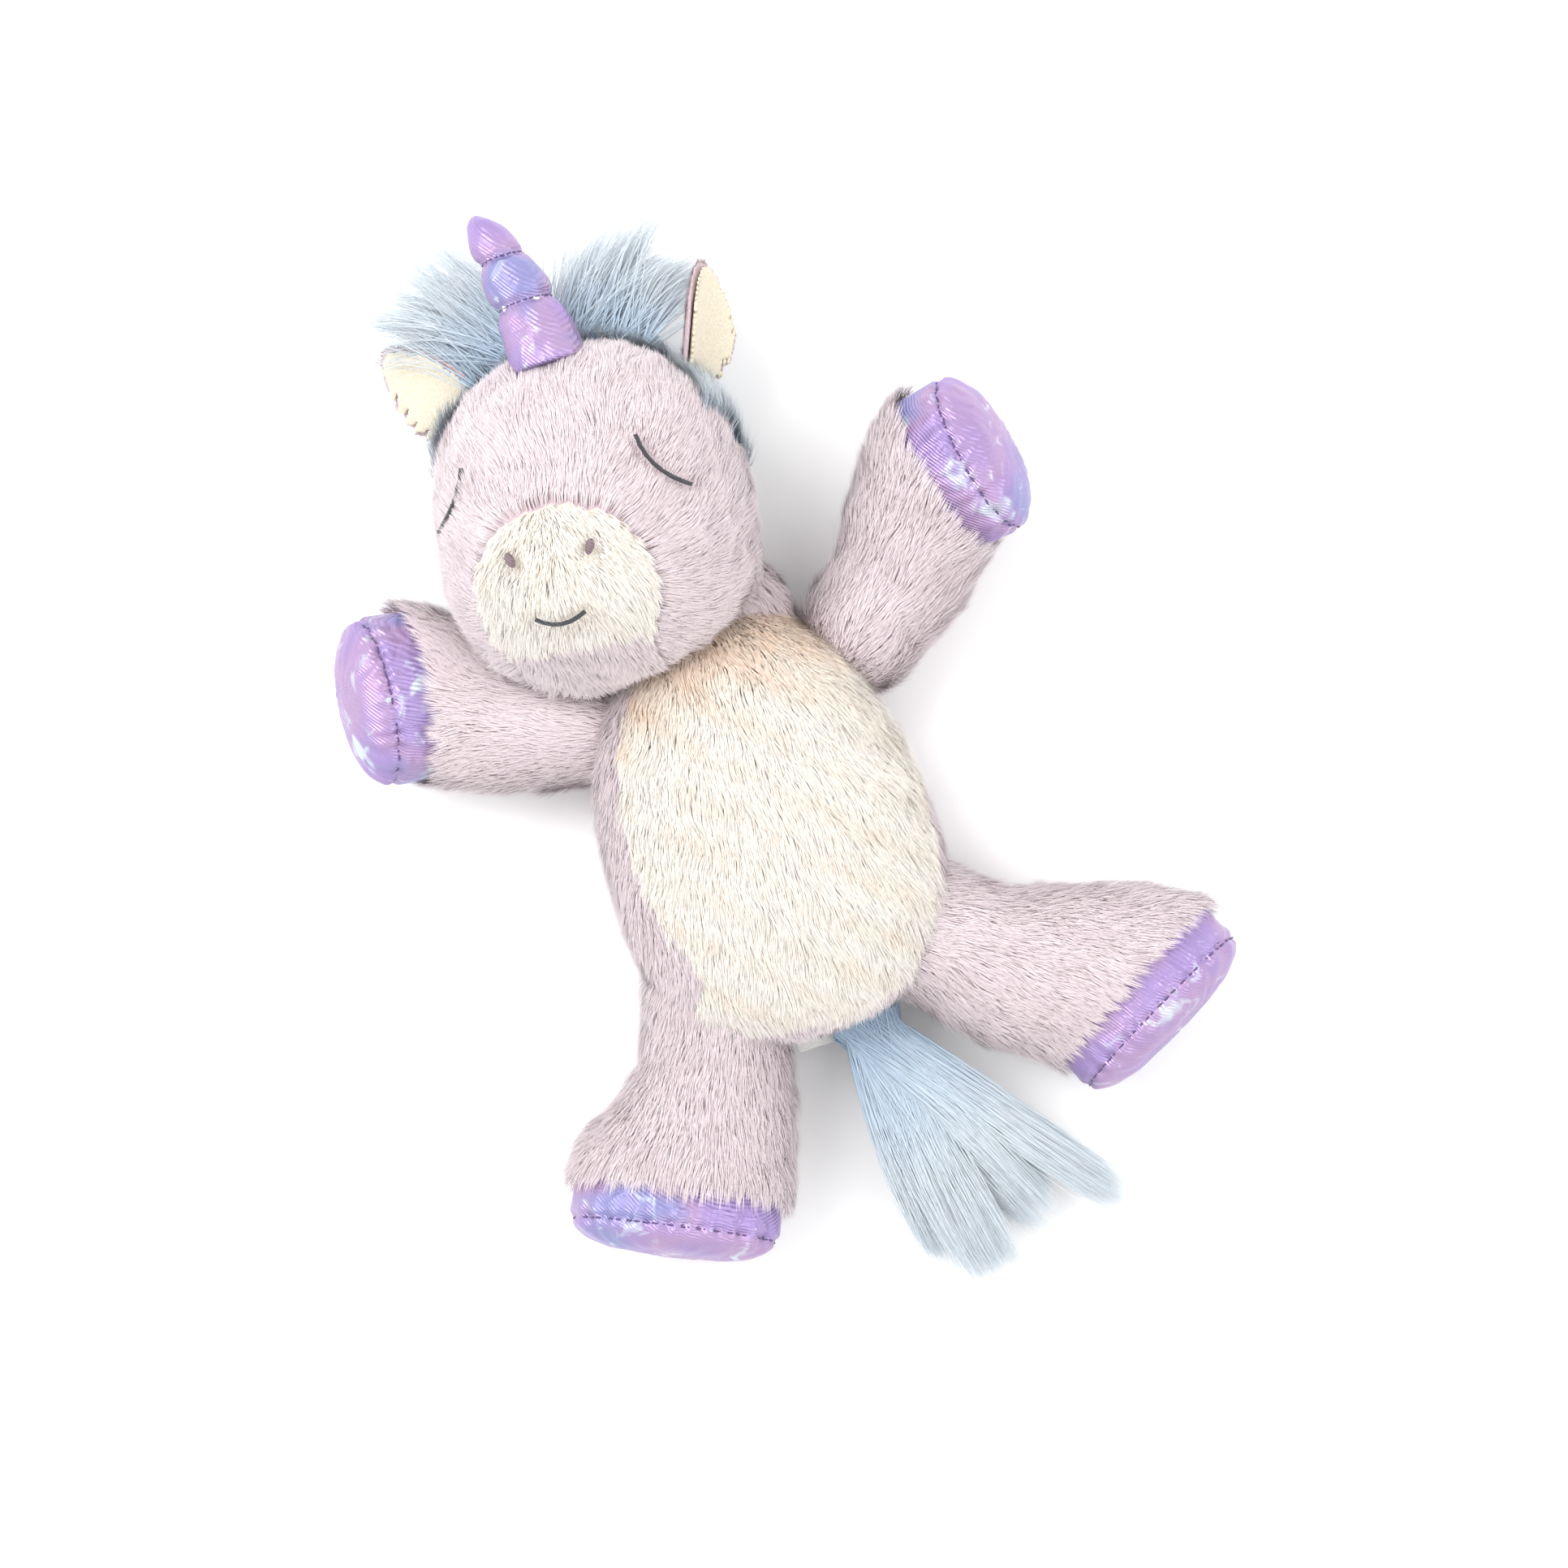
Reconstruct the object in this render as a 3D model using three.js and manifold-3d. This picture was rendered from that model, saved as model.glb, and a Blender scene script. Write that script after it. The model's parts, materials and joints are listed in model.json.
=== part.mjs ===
// Plush unicorn lying on its back, built as the sewn toy is: fabric panels over stuffing, with
// gathered hooves and horn, long-pile hair and embroidered features.
// Millimetres. +Z up out of the belly, +Y from tail to head, +X to the toy's left.
// The origin is the middle of the flat patch of its back.
import * as THREE from "three";
import { mergeVertices } from "three/addons/utils/BufferGeometryUtils.js";
import Module from "manifold-3d";

const wasm = await Module();
wasm.setup();

// ---------------------------------------------------------------- sizes

const gap = 0.35; // between neighbouring pieces
const wall = 2.6; // backing cloth with its dense pile
const liningGap = gap; // between a cover and its stuffing

const torso = {
  halfWidth: 57,
  halfLength: 77,
  halfDepth: 38,
  middleX: -3,
  middleY: -2,
  middleZ: 34.5,
  fullness: 2.35,
  shoulderTaper: 0.13,
};
const belly = { x: 3, y: 0, halfWidth: 50, halfLength: 74, bottomZ: 36 };
const seat = { y: -26, halfWidth: 21, halfLength: 14, halfDepth: 12, z: 20 };
const label = { width: 14, length: 20, thickness: 0.8, x: -9, z: 12 };
const closing = { length: 30, z: 7, thread: 1.4 };

const neck = { x: 6, y: 70, z: 27.5, radius: 25, cupWall: 2.2, opening: 13 };

const head = {
  x: -26,
  y: 120,
  z: 49.5,
  halfWidth: 55,
  halfHeight: 60,
  halfDepth: 46,
  fullness: 2.25,
  roll: -9,
  yaw: -12,
};
const muzzle = { x: -3, y: -21, bulge: 14, spread: 0.46, halfWidth: 31, halfHeight: 29 };
const chin = { topY: -44, halfWidth: 24 };
const hairline = { frontZ: 14, y: 28 };

const eye = { x: { left: 36, right: 43 }, y: 12, length: 25, thread: 1.7, lean: 52 };
const nostril = { halfSpacing: 14, y: -14, length: 6, width: 3.4 };
const mouth = { y: -35, halfWidth: 9, sag: 3, thread: 1.7 };

const ear = {
  x: 42,
  y: 46,
  z: -8,
  halfWidth: 19,
  halfLength: 25,
  thickness: 3,
  cup: 10,
  lining: 1.6,
  rim: 2.2,
  rootDepth: 9,
  splay: { left: 14, right: 48 },
  open: { left: 72, right: 24 }, // how far each ear's cup faces outwards
};
const horn = { x: -3, y: 54, z: 17, radius: 14, length: 60, lean: 10, curve: 9, thread: 1.1 };
const hornGathers = [0.4, 0.7];
const forelock = {
  x: 19,
  y: 48,
  length: 44,
  halfWidth: 11,
  halfDepth: 7,
  angle: { left: -44, right: 62 },
};

const arm = {
  x: 52,
  y: 51,
  z: 27,
  radius: 20.5,
  shaft: 60, // root to the edge of the pile
  band: 17,
  sole: 13,
  soleHalfWidth: 32,
  soleHalfHeight: 22.5,
  toe: 10.5,
  bend: 24,
  liftLean: 38,
  ankle: { left: -27, right: -12 }, // sections turned towards the toe, degrees
  angle: { left: 37, right: 162 },
};
const leg = {
  x: 40,
  y: -57,
  z: 28,
  radius: 23,
  shaft: 72,
  band: 16,
  sole: 11,
  soleHalfWidth: 39.5,
  soleHalfHeight: 25.5,
  toe: 16.5,
  bend: 11,
  liftLean: 0,
  ankle: { left: -18, right: 11 },
  angle: { left: -44, right: -104 },
};
for (const limb of [arm, leg]) {
  limb.seam = limb.shaft + limb.band;
  limb.tip = limb.shaft + limb.band + limb.sole;
}
const seamThread = 1.4;
const gusset = { thickness: 1.5, spread: 52 }; // seam allowance folded in behind each limb
const limbSwing = 26; // clearance kept at the roots, each way, degrees
const limbLift = 62;
const earFold = [-10, 22]; // degrees, the second to the front
const hornBend = 12; // each way

const tail = {
  x: 10,
  y: -82,
  z: 13,
  length: 100,
  spreadFrom: -98,
  spreadTo: -56,
  tabLength: 9,
  tabHalfWidth: 8,
  tabHalfDepth: 5,
};

// ---------------------------------------------------------------- fabrics

const cloth = (colour, roughness = 0.95, metalness = 0) =>
  new THREE.MeshStandardMaterial({ color: colour, roughness, metalness });
const pinkPlush = "#dcccd0";
const creamPlush = "#e8e1d6";
const bluePile = "#b9d0e0";
const lilacLame = "#b79ad6";
const earVelour = "#e5ddcb";
const charcoalThread = "#3a3a40";
const mauveThread = "#7a656a";
const purpleThread = "#5b4580";
const polyester = "#f2f2f0";

// ---------------------------------------------------------------- tools

const rad = THREE.MathUtils.degToRad;
const smooth = THREE.MathUtils.smoothstep;
const V = (x, y, z) => new THREE.Vector3(x, y, z);

function solid(geometry) {
  const bare = geometry.clone();
  bare.deleteAttribute("normal");
  bare.deleteAttribute("uv");
  const merged = mergeVertices(bare, 1e-4);
  const vertProperties = new Float32Array(merged.attributes.position.array);
  const triVerts = new Uint32Array(merged.index.array);
  const made = new wasm.Manifold(new wasm.Mesh({ numProp: 3, vertProperties, triVerts }));
  if (made.volume() >= 0) return made;
  for (let i = 0; i < triVerts.length; i += 3) {
    [triVerts[i + 1], triVerts[i + 2]] = [triVerts[i + 2], triVerts[i + 1]];
  }
  return new wasm.Manifold(new wasm.Mesh({ numProp: 3, vertProperties, triVerts }));
}

// The biggest body of a cut, so that slivers left beside a seam don't count as cloth.
function whole(manifold) {
  const bodies = manifold.decompose();
  return bodies.reduce((best, body) => (body.volume() > best.volume() ? body : best));
}

function geometryOf(manifold) {
  const made = manifold.getMesh();
  const geometry = new THREE.BufferGeometry();
  geometry.setAttribute("position", new THREE.BufferAttribute(made.vertProperties, 3));
  geometry.setIndex(new THREE.BufferAttribute(made.triVerts, 1));
  geometry.computeVertexNormals();
  return geometry;
}

function add(group, name, material, shape) {
  const geometry = shape.isBufferGeometry ? shape : geometryOf(whole(shape));
  const mesh = new THREE.Mesh(geometry, material);
  mesh.name = name;
  group.add(mesh);
  return mesh;
}

function warp(geometry, place) {
  const position = geometry.attributes.position;
  for (let i = 0; i < position.count; i++) {
    const p = place(V().fromBufferAttribute(position, i));
    position.setXYZ(i, p.x, p.y, p.z);
  }
  return geometry;
}

const ball = (x, y, z, radius, around = 18, down = 12) =>
  solid(new THREE.SphereGeometry(radius, around, down).translate(x, y, z));

const superRadius = (d, a, b, c, n) =>
  (Math.abs(d.x / a) ** n + Math.abs(d.y / b) ** n + Math.abs(d.z / c) ** n) ** (-1 / n);

function placed(manifold, matrix) {
  return manifold.transform([...matrix.elements]);
}

// A tube of thread along points, laid just proud of the cloth.
function thread(points, radius, steps) {
  const round = new THREE.Shape().absarc(0, 0, radius, 0, 2 * Math.PI);
  const path = new THREE.CatmullRomCurve3(points);
  return new THREE.ExtrudeGeometry(round, { extrudePath: path, steps, curveSegments: 3 });
}

const toy = new THREE.Group();

// ---------------------------------------------------------------- torso

function torsoShape(inset, around, down) {
  const t = torso;
  const a = t.halfWidth - inset;
  const b = t.halfLength - inset;
  const c = t.halfDepth - inset;
  const bag = new THREE.SphereGeometry(1, around, down);
  warp(bag, (d) => {
    const p = d.clone().multiplyScalar(superRadius(d, a, b, c, t.fullness));
    p.x *= 1 - t.shoulderTaper * (p.y / t.halfLength);
    return V(p.x + t.middleX, p.y + t.middleY, p.z + t.middleZ);
  });
  const floor = new THREE.BoxGeometry(400, 400, 100).translate(0, 0, inset - 50);
  return solid(bag).subtract(solid(floor));
}

// The point of the torso's tail end at a place across and up, standing proud of the cloth.
function onTorso(x, z, proud) {
  const t = torso;
  const taper = 1 + t.shoulderTaper;
  const across = Math.abs((x - t.middleX) / taper / t.halfWidth) ** t.fullness;
  const up = Math.abs((z - t.middleZ) / t.halfDepth) ** t.fullness;
  const reach = t.halfLength * Math.max(1 - across - up, 0) ** (1 / t.fullness);
  return V(x, t.middleY - reach - proud, z);
}

function ovalPrism(x, y, halfWidth, halfLength, bottomZ, height, around = 36) {
  const oval = new THREE.CylinderGeometry(1, 1, height, around);
  oval.rotateX(Math.PI / 2).scale(halfWidth, halfLength, 1);
  return solid(oval.translate(x, y, bottomZ + height / 2));
}

// ---------------------------------------------------------------- limbs

// A limb's own frame: origin at its root, +X along it, +Y to its toe, +Z up.
function limbFrame(l, side) {
  const sign = side === "left" ? 1 : -1;
  const along = rad(l.angle[side]);
  const x = V(Math.cos(along), Math.sin(along), 0);
  const y = V(-Math.sin(along), Math.cos(along), 0).multiplyScalar(sign);
  const frame = new THREE.Matrix4().makeBasis(x, y, V(0, 0, 1));
  return frame.setPosition(sign * l.x, l.y, l.z);
}

// The middle line bends up out of the plane towards the hoof, and the sections turn in the plane
// as the ankle does. place(across, up) is a point of the section at that distance.
function limbSpine(l, s, ankle) {
  const reach = l.shaft - l.radius;
  const along = THREE.MathUtils.clamp(s - l.radius, 0, reach);
  const bend = rad(l.bend);
  const tilt = (bend * along) / reach;
  const arc = reach / bend;
  const turn = rad(ankle) * smooth(along, 0, reach);
  const past = Math.max(s - l.shaft, 0);
  const ahead = V(Math.cos(tilt) * Math.cos(turn), Math.cos(tilt) * Math.sin(turn), Math.sin(tilt));
  const across = V(-Math.sin(turn), Math.cos(turn), 0);
  const up = ahead.clone().cross(across);
  const x = Math.min(s, l.radius) + arc * Math.sin(tilt);
  const middle = V(x, 0, arc * (1 - Math.cos(tilt))).addScaledVector(ahead, past);
  const place = (a, b) => middle.clone().addScaledVector(across, a).addScaledVector(up, b);
  return { place };
}

// Half widths of the limb at a distance s along it.
function limbSection(l, s) {
  const flare = smooth(s, l.radius * 0.5, l.shaft);
  const a = THREE.MathUtils.lerp(l.radius, l.soleHalfWidth, flare);
  const b = THREE.MathUtils.lerp(l.radius, l.soleHalfHeight, flare);
  const toe = l.toe * smooth(s, l.radius, l.shaft);
  if (s < 0) {
    const dome = Math.sqrt(Math.max(l.radius ** 2 - s ** 2, 0));
    return { a: dome, b: dome, toe: 0 };
  }
  if (s > l.seam) {
    const round = Math.sqrt(Math.max(1 - ((s - l.seam) / (l.tip - l.seam)) ** 2, 0));
    return { a: a * round, b: b * round, toe };
  }
  return { a, b, toe };
}

// The limb between two distances, inset from the outer face of its cloth.
function limbPart(l, ankle, from, to, inset, around, steps) {
  const tube = new THREE.CylinderGeometry(1, 1, 1, around, steps);
  warp(tube, (p) => {
    const t = p.y + 0.5;
    const s = from + (to - from) * t;
    const reach = THREE.MathUtils.clamp(s, inset - l.radius, l.tip - inset);
    const section = limbSection(l, s);
    const spine = limbSpine(l, reach, ankle);
    const a = Math.max(section.a - inset, 0.6) * p.x + section.toe;
    const b = Math.max(section.b - inset, 0.6) * p.z;
    return spine.place(a, b);
  });
  return solid(tube);
}

const limbs = [];
for (const side of ["left", "right"]) {
  limbs.push({ name: `arm_${side}`, size: arm, side });
  limbs.push({ name: `leg_${side}`, size: leg, side });
}

// A limb lifts up out of the plane and, at an oblique seam, away from its toe side.
function liftTurn(size, angle) {
  const lean = rad(size.liftLean);
  const axis = V(0, -Math.cos(lean), -Math.sin(lean));
  return new THREE.Matrix4().makeRotationAxis(axis, rad(angle));
}

// What the torso gives up so that a limb can swing and lift about its root.
function limbClearance({ size, side }) {
  const frame = limbFrame(size, side);
  const grown = limbPart(size, 0, 0, size.shaft * 0.8, -3 * gap, 10, 1);
  const root = ball(0, 0, 0, size.radius + 4 * gap + gusset.thickness);
  let cut = placed(root, frame);
  for (const swing of [-limbSwing, limbSwing]) {
    for (const lift of [0, limbLift]) {
      const turned = new THREE.Matrix4().makeRotationZ(rad(swing));
      turned.multiply(liftTurn(size, lift));
      cut = cut.add(placed(grown, frame.clone().multiply(turned)));
    }
  }
  return cut;
}

// The seam allowance of a root is a shallow cup between the limb's dome and the torso, behind
// every direction that the limb can lift to.
function rootSeam(size) {
  const cup = ball(0, 0, 0, size.radius + 2 * gap + gusset.thickness);
  const hollow = ball(0, 0, 0, size.radius + 2 * gap);
  const side = 4 * size.radius;
  const rim = size.radius * Math.cos(rad(gusset.spread));
  const behind = new THREE.BoxGeometry(side, side, side);
  behind.translate(rim + side / 2, 0, 0).rotateY(Math.PI);
  behind.applyMatrix4(liftTurn(size, limbLift / 2));
  return cup.subtract(hollow).intersect(solid(behind));
}

// The dark thread that runs round a hoof where its band meets its sole.
function hoofSeam(size, ankle, sink) {
  const section = limbSection(size, size.seam);
  const proud = seamThread / 2 + 2 * gap - sink;
  const thick = 0.1;
  const ring = new THREE.TorusGeometry(1, thick, 6, 30);
  return solid(
    warp(ring, (p) => {
      const turn = Math.atan2(p.y, p.x);
      const out = ((Math.hypot(p.x, p.y) - 1) * seamThread) / 2 / thick + proud;
      const along = (p.z * seamThread) / 2 / thick;
      const spine = limbSpine(size, size.seam + along, ankle);
      const across = (section.a + out) * Math.cos(turn) + section.toe;
      return spine.place(across, (section.b + out) * Math.sin(turn));
    }),
  );
}

function addLimb(group, { name, size, side }) {
  const frame = limbFrame(size, side);
  const put = (part) => placed(part, frame);
  const around = 18;
  const steps = 6;
  const back = -size.radius * 0.98;
  const ankle = size.ankle[side];
  const sink = 1.2; // the lamé lies lower than the pile
  const outer = limbPart(size, ankle, back, size.shaft, 0, around, steps);
  const hollow = limbPart(size, ankle, back, size.tip, wall, 12, 6);
  const stuffing = limbPart(size, ankle, back, size.tip, wall + 2 * gap, 12, 6);
  const band = limbPart(size, ankle, size.shaft + gap, size.seam, sink, around, 3);
  const sole = limbPart(size, ankle, size.seam + gap, size.tip, sink, around, 4);
  add(group, `${name}_cover`, cloth(pinkPlush), put(outer.subtract(hollow)));
  add(group, `${name}_filling`, cloth(polyester), put(stuffing));
  add(group, `${name}_hoof_band`, cloth(lilacLame, 0.35, 0.4), put(band.subtract(hollow)));
  add(group, `${name}_hoof_sole`, cloth(lilacLame, 0.35, 0.4), put(sole.subtract(hollow)));
  add(group, `${name}_hoof_seam`, cloth(purpleThread, 0.6), put(hoofSeam(size, ankle, sink)));
  add(group, `${name}_root_seam`, cloth(pinkPlush), put(rootSeam(size)));
}

for (const limb of limbs) addLimb(toy, limb);

// ---------------------------------------------------------------- neck

// A short stuffed ball, half sunk in the shoulders and half in the head, so that both turn on it.
const neckSocket = ball(neck.x, neck.y, neck.z, neck.radius + 2 * gap);

function addNeck(group) {
  const outer = ball(neck.x, neck.y, neck.z, neck.radius);
  const hollow = ball(neck.x, neck.y, neck.z, neck.radius - neck.cupWall);
  const stuffing = ball(neck.x, neck.y, neck.z, neck.radius - neck.cupWall - liningGap);
  const bore = new THREE.CylinderGeometry(neck.opening, neck.opening, 4 * neck.radius, 28);
  const openEnds = solid(bore.translate(neck.x, neck.y, neck.z));
  add(group, "neck_cover", cloth(pinkPlush), outer.subtract(hollow).subtract(openEnds));
  add(group, "neck_filling", cloth(polyester), stuffing);
}

addNeck(toy);

// ---------------------------------------------------------------- head

const headFrame = new THREE.Matrix4().makeRotationZ(rad(head.roll));
headFrame.multiply(new THREE.Matrix4().makeRotationY(rad(head.yaw)));
headFrame.setPosition(head.x, head.y, head.z);
const inHead = (part) => placed(part, headFrame);
const muzzleWay = V(muzzle.x, muzzle.y, head.halfDepth).normalize();

// Distance from the head's middle to its outer face, in the head's own frame: +X to its left,
// +Y to its crown, +Z out of its face.
function headRadius(d) {
  const round = superRadius(d, head.halfWidth, head.halfHeight, head.halfDepth, head.fullness);
  const off = d.angleTo(muzzleWay) / muzzle.spread;
  const cheeks = 1 + 0.05 * smooth(-d.y, 0, 0.7);
  return round * cheeks + muzzle.bulge * Math.exp(-(off ** 2));
}

function headShape(inset, around, down) {
  const bag = new THREE.SphereGeometry(1, around, down);
  bag.rotateX(Math.PI / 2);
  return solid(warp(bag, (d) => d.clone().multiplyScalar(headRadius(d.normalize()) - inset)));
}

// The point of the face at a place across and up, standing proud of the cloth.
function onFace(x, y, proud) {
  const p = V(x, y, head.halfDepth);
  for (let i = 0; i < 12; i++) {
    const d = p.clone().normalize();
    const reach = headRadius(d) + proud;
    p.z = Math.sqrt(Math.max(reach ** 2 - x ** 2 - y ** 2, 1));
  }
  return p;
}

const torsoClearance = torsoShape(-4, 14, 8);
const armClearance = ["left", "right"].map((side) => {
  const grown = limbPart(arm, arm.ankle[side], 0, arm.tip, -4, 10, 4);
  const root = ball(0, 0, 0, arm.radius + gusset.thickness + 5);
  return placed(grown.add(root), limbFrame(arm, side));
});

// Room left under the chin: the shoulders and arms, and where the nod and the tilt sweep them.
const headTravel = [
  [0, 0],
  [-16, 0],
  [0, 16],
  [0, -4],
  [-16, 16],
  [-16, -4],
];
function chinRoom() {
  let room = neckSocket;
  for (const [nod, tilt] of headTravel) {
    const turn = new THREE.Matrix4().makeTranslation(neck.x, neck.y, neck.z);
    turn.multiply(new THREE.Matrix4().makeRotationX(rad(nod)));
    turn.multiply(new THREE.Matrix4().makeRotationZ(rad(tilt)));
    turn.multiply(new THREE.Matrix4().makeTranslation(-neck.x, -neck.y, -neck.z));
    for (const part of [torsoClearance, ...armClearance]) room = room.add(placed(part, turn));
  }
  return room;
}

function addHead(group) {
  const outer = headShape(0, 26, 16);
  const hollow = headShape(wall, 16, 10);
  const stuffing = headShape(wall + gap, 16, 10);
  const room = placed(chinRoom(), headFrame.clone().invert());
  const skin = outer.subtract(hollow).subtract(room);

  const depth = 200;
  const prism = (x, y, a, b, grow) => ovalPrism(x, y, a + grow, b + grow, 0, depth);
  const patchX = muzzleWay.x * (head.halfDepth + muzzle.bulge);
  const patchY = muzzleWay.y * (head.halfDepth + muzzle.bulge) - 2;
  const patch = (grow) => prism(patchX, patchY, muzzle.halfWidth, muzzle.halfHeight, grow);
  const under = (grow) => {
    const box = new THREE.BoxGeometry(2 * chin.halfWidth + 2 * grow, 80, depth);
    box.translate(patchX, chin.topY + grow - 40, depth / 2 + 18);
    return solid(box);
  };
  const front = (z) => solid(new THREE.BoxGeometry(400, 400, 400).translate(0, 0, z + 200));

  // The mane covers the crown and the back of the head down to the hairline.
  const crown = (grow) => {
    const box = new THREE.BoxGeometry(400, 400, 400);
    box.translate(0, 200 - grow, -200 + grow);
    box.rotateX(rad(-28)).translate(0, hairline.y, hairline.frontZ);
    return solid(box);
  };
  const faceSide = skin.subtract(crown(gap));
  const face = faceSide.intersect(front(0)).subtract(patch(gap)).subtract(under(gap));
  add(group, "head_face_panel", cloth(pinkPlush), inHead(face));
  const back = faceSide.subtract(front(-gap));
  add(group, "head_back_panel", cloth(pinkPlush), inHead(back));
  add(group, "head_mane_panel", cloth(bluePile), inHead(skin.intersect(crown(0))));
  const muzzlePanel = skin.intersect(patch(0)).subtract(under(gap));
  add(group, "muzzle_panel", cloth(creamPlush), inHead(muzzlePanel));
  const chinPanel = skin.intersect(under(0)).subtract(crown(gap));
  add(group, "chin_panel", cloth(pinkPlush), inHead(chinPanel));
  add(group, "head_filling", cloth(polyester), inHead(stuffing.subtract(room)));
}

addHead(toy);

// ---------------------------------------------------------------- face

function addStitching(group) {
  const put = (name, colour, geometry) =>
    add(group, name, cloth(colour, 0.6), inHead(solid(geometry)));
  for (const [side, sign] of [["left", 1], ["right", -1]]) {
    const lid = [];
    for (let i = 0; i <= 6; i++) {
      const t = i / 6 - 0.5;
      const along = rad(eye.lean);
      const sag = 4 * (t * t - 0.25) * 3;
      const x = eye.x[side] + eye.length * t * Math.cos(along) + sag * Math.sin(along);
      const y = eye.y - eye.length * t * Math.sin(along) + sag * Math.cos(along);
      lid.push(onFace(sign * x, y, eye.thread + gap));
    }
    put(`eye_stitch_${side}`, charcoalThread, thread(lid, eye.thread / 2, 7));

    const dab = new THREE.SphereGeometry(1, 10, 6);
    dab.scale(nostril.width / 2, nostril.length / 2, 1.1).rotateZ(rad(-22 * sign));
    const at = onFace(muzzle.x + sign * nostril.halfSpacing, nostril.y, 2.2 + gap);
    put(`nostril_${side}`, mauveThread, dab.translate(at.x, at.y, at.z));
  }
  const lip = [];
  for (let i = 0; i <= 6; i++) {
    const t = i / 3 - 1;
    const y = mouth.y - mouth.sag * (1 - t * t);
    lip.push(onFace(muzzle.x + mouth.halfWidth * t, y, mouth.thread + gap));
  }
  put("mouth_stitch", charcoalThread, thread(lip, mouth.thread / 2, 6));
}

addStitching(toy);

// ---------------------------------------------------------------- torso

function addTorso(group) {
  let room = neckSocket;
  for (const limb of limbs) room = room.add(limbClearance(limb));
  const outer = torsoShape(0, 28, 16);
  const hollow = torsoShape(wall, 18, 11);
  const stuffing = torsoShape(wall + gap, 18, 11);
  const skin = outer.subtract(hollow).subtract(room);
  const front = (grow) =>
    ovalPrism(belly.x, belly.y, belly.halfWidth + grow, belly.halfLength + grow, belly.bottomZ, 60);
  add(group, "belly_panel", cloth(creamPlush), skin.intersect(front(0)));
  add(group, "torso_back_panel", cloth(pinkPlush), skin.subtract(front(gap)));

  const pouch = (grow) => {
    const bag = new THREE.SphereGeometry(1, 14, 9);
    bag.scale(seat.halfWidth + grow, seat.halfLength + grow, seat.halfDepth + grow);
    return solid(bag.translate(0, seat.y, seat.z));
  };
  const slit = new THREE.CylinderGeometry(4, 4, 60, 14).rotateX(Math.PI / 2);
  const fillHole = solid(slit.translate(0, seat.y, seat.z + 30));
  const filling = stuffing.subtract(room).subtract(pouch(gap)).subtract(fillHole);
  add(group, "torso_filling", cloth(polyester), filling);
  add(group, "seat_bean_pouch", cloth(polyester), pouch(0));

  // The toy is filled through the seat end of its back, which is closed by hand, and its blank
  // label is caught in the same seam.
  const ladder = [];
  for (let i = 0; i <= 4; i++) {
    const x = closing.length * (i / 4 - 0.5);
    ladder.push(onTorso(x, closing.z, closing.thread / 2 + 2 * gap));
  }
  add(group, "closing_seam", cloth(pinkPlush, 0.7), solid(thread(ladder, closing.thread / 2, 6)));
  const tag = new THREE.BoxGeometry(label.width, label.length, label.thickness);
  const at = onTorso(label.x, label.z, gap);
  tag.translate(at.x, at.y - label.length / 2, at.z);
  const tagShape = solid(tag).subtract(torsoShape(-gap, 28, 16));
  add(group, "care_label", cloth(polyester, 0.7), tagShape);
}

addTorso(toy);

// ---------------------------------------------------------------- ears

// A cupped leaf: its middle line stands up from the base and its sides curl to the front.
function earLeaf(inset, front, thickness) {
  const leaf = new THREE.SphereGeometry(1, 14, 8);
  return warp(leaf, (d) => {
    const up = (d.y + 1) / 2;
    const pinch = 1 - 0.42 * up ** 2;
    const x = d.x * (ear.halfWidth - inset) * pinch;
    const y = d.y * (ear.halfLength - inset) + ear.halfLength;
    const curl = ear.cup * (x / ear.halfWidth) ** 2;
    return V(x, y, (d.z * thickness) / 2 + curl + front);
  });
}

const headBag = headShape(-gap, 26, 16);

function addEar(group, side) {
  const sign = side === "left" ? 1 : -1;
  const stand = new THREE.Matrix4().makeTranslation(sign * ear.x, ear.y, ear.z);
  stand.multiply(new THREE.Matrix4().makeRotationZ(rad(-sign * ear.splay[side])));
  stand.multiply(new THREE.Matrix4().makeRotationY(rad(sign * ear.open[side])));
  const sunk = new THREE.Matrix4().makeTranslation(0, -ear.rootDepth, 0);
  const put = (part) => {
    let leaf = inHead(placed(part, stand).subtract(headBag));
    for (const angle of [...earFold, earFold[1] / 2]) {
      const turn = new THREE.Matrix4().makeRotationX(rad(-angle));
      const inLeaf = stand.clone().multiply(turn).multiply(stand.clone().invert());
      leaf = leaf.subtract(inHead(placed(headBag, inLeaf)));
    }
    return leaf;
  };
  const backShape = placed(solid(earLeaf(0, 0, ear.thickness)), sunk);
  const liningAt = ear.thickness / 2 + ear.lining / 2 + gap;
  const lining = placed(solid(earLeaf(ear.rim, liningAt, ear.lining)), sunk);
  add(group, `ear_${side}_back`, cloth(pinkPlush), put(backShape));
  add(group, `ear_${side}_lining`, cloth(earVelour), put(lining));
}

for (const side of ["left", "right"]) addEar(toy, side);

// ---------------------------------------------------------------- horn

const hornFrame = headFrame.clone();
hornFrame.multiply(new THREE.Matrix4().makeTranslation(horn.x, horn.y, horn.z));
hornFrame.multiply(new THREE.Matrix4().makeRotationZ(rad(horn.lean)));

const hornGather = (t) =>
  hornGathers.reduce((sum, at) => sum + Math.exp(-(((t - at) / 0.05) ** 2)), 0);
const hornRadius = (t) =>
  horn.radius * Math.sqrt(Math.max(1 - t ** 5, 0)) * (1 - 0.2 * hornGather(t)) * (1 - 0.36 * t);
const hornMiddle = (t) => V(-horn.curve * t * t, horn.length * t, 0);

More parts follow.
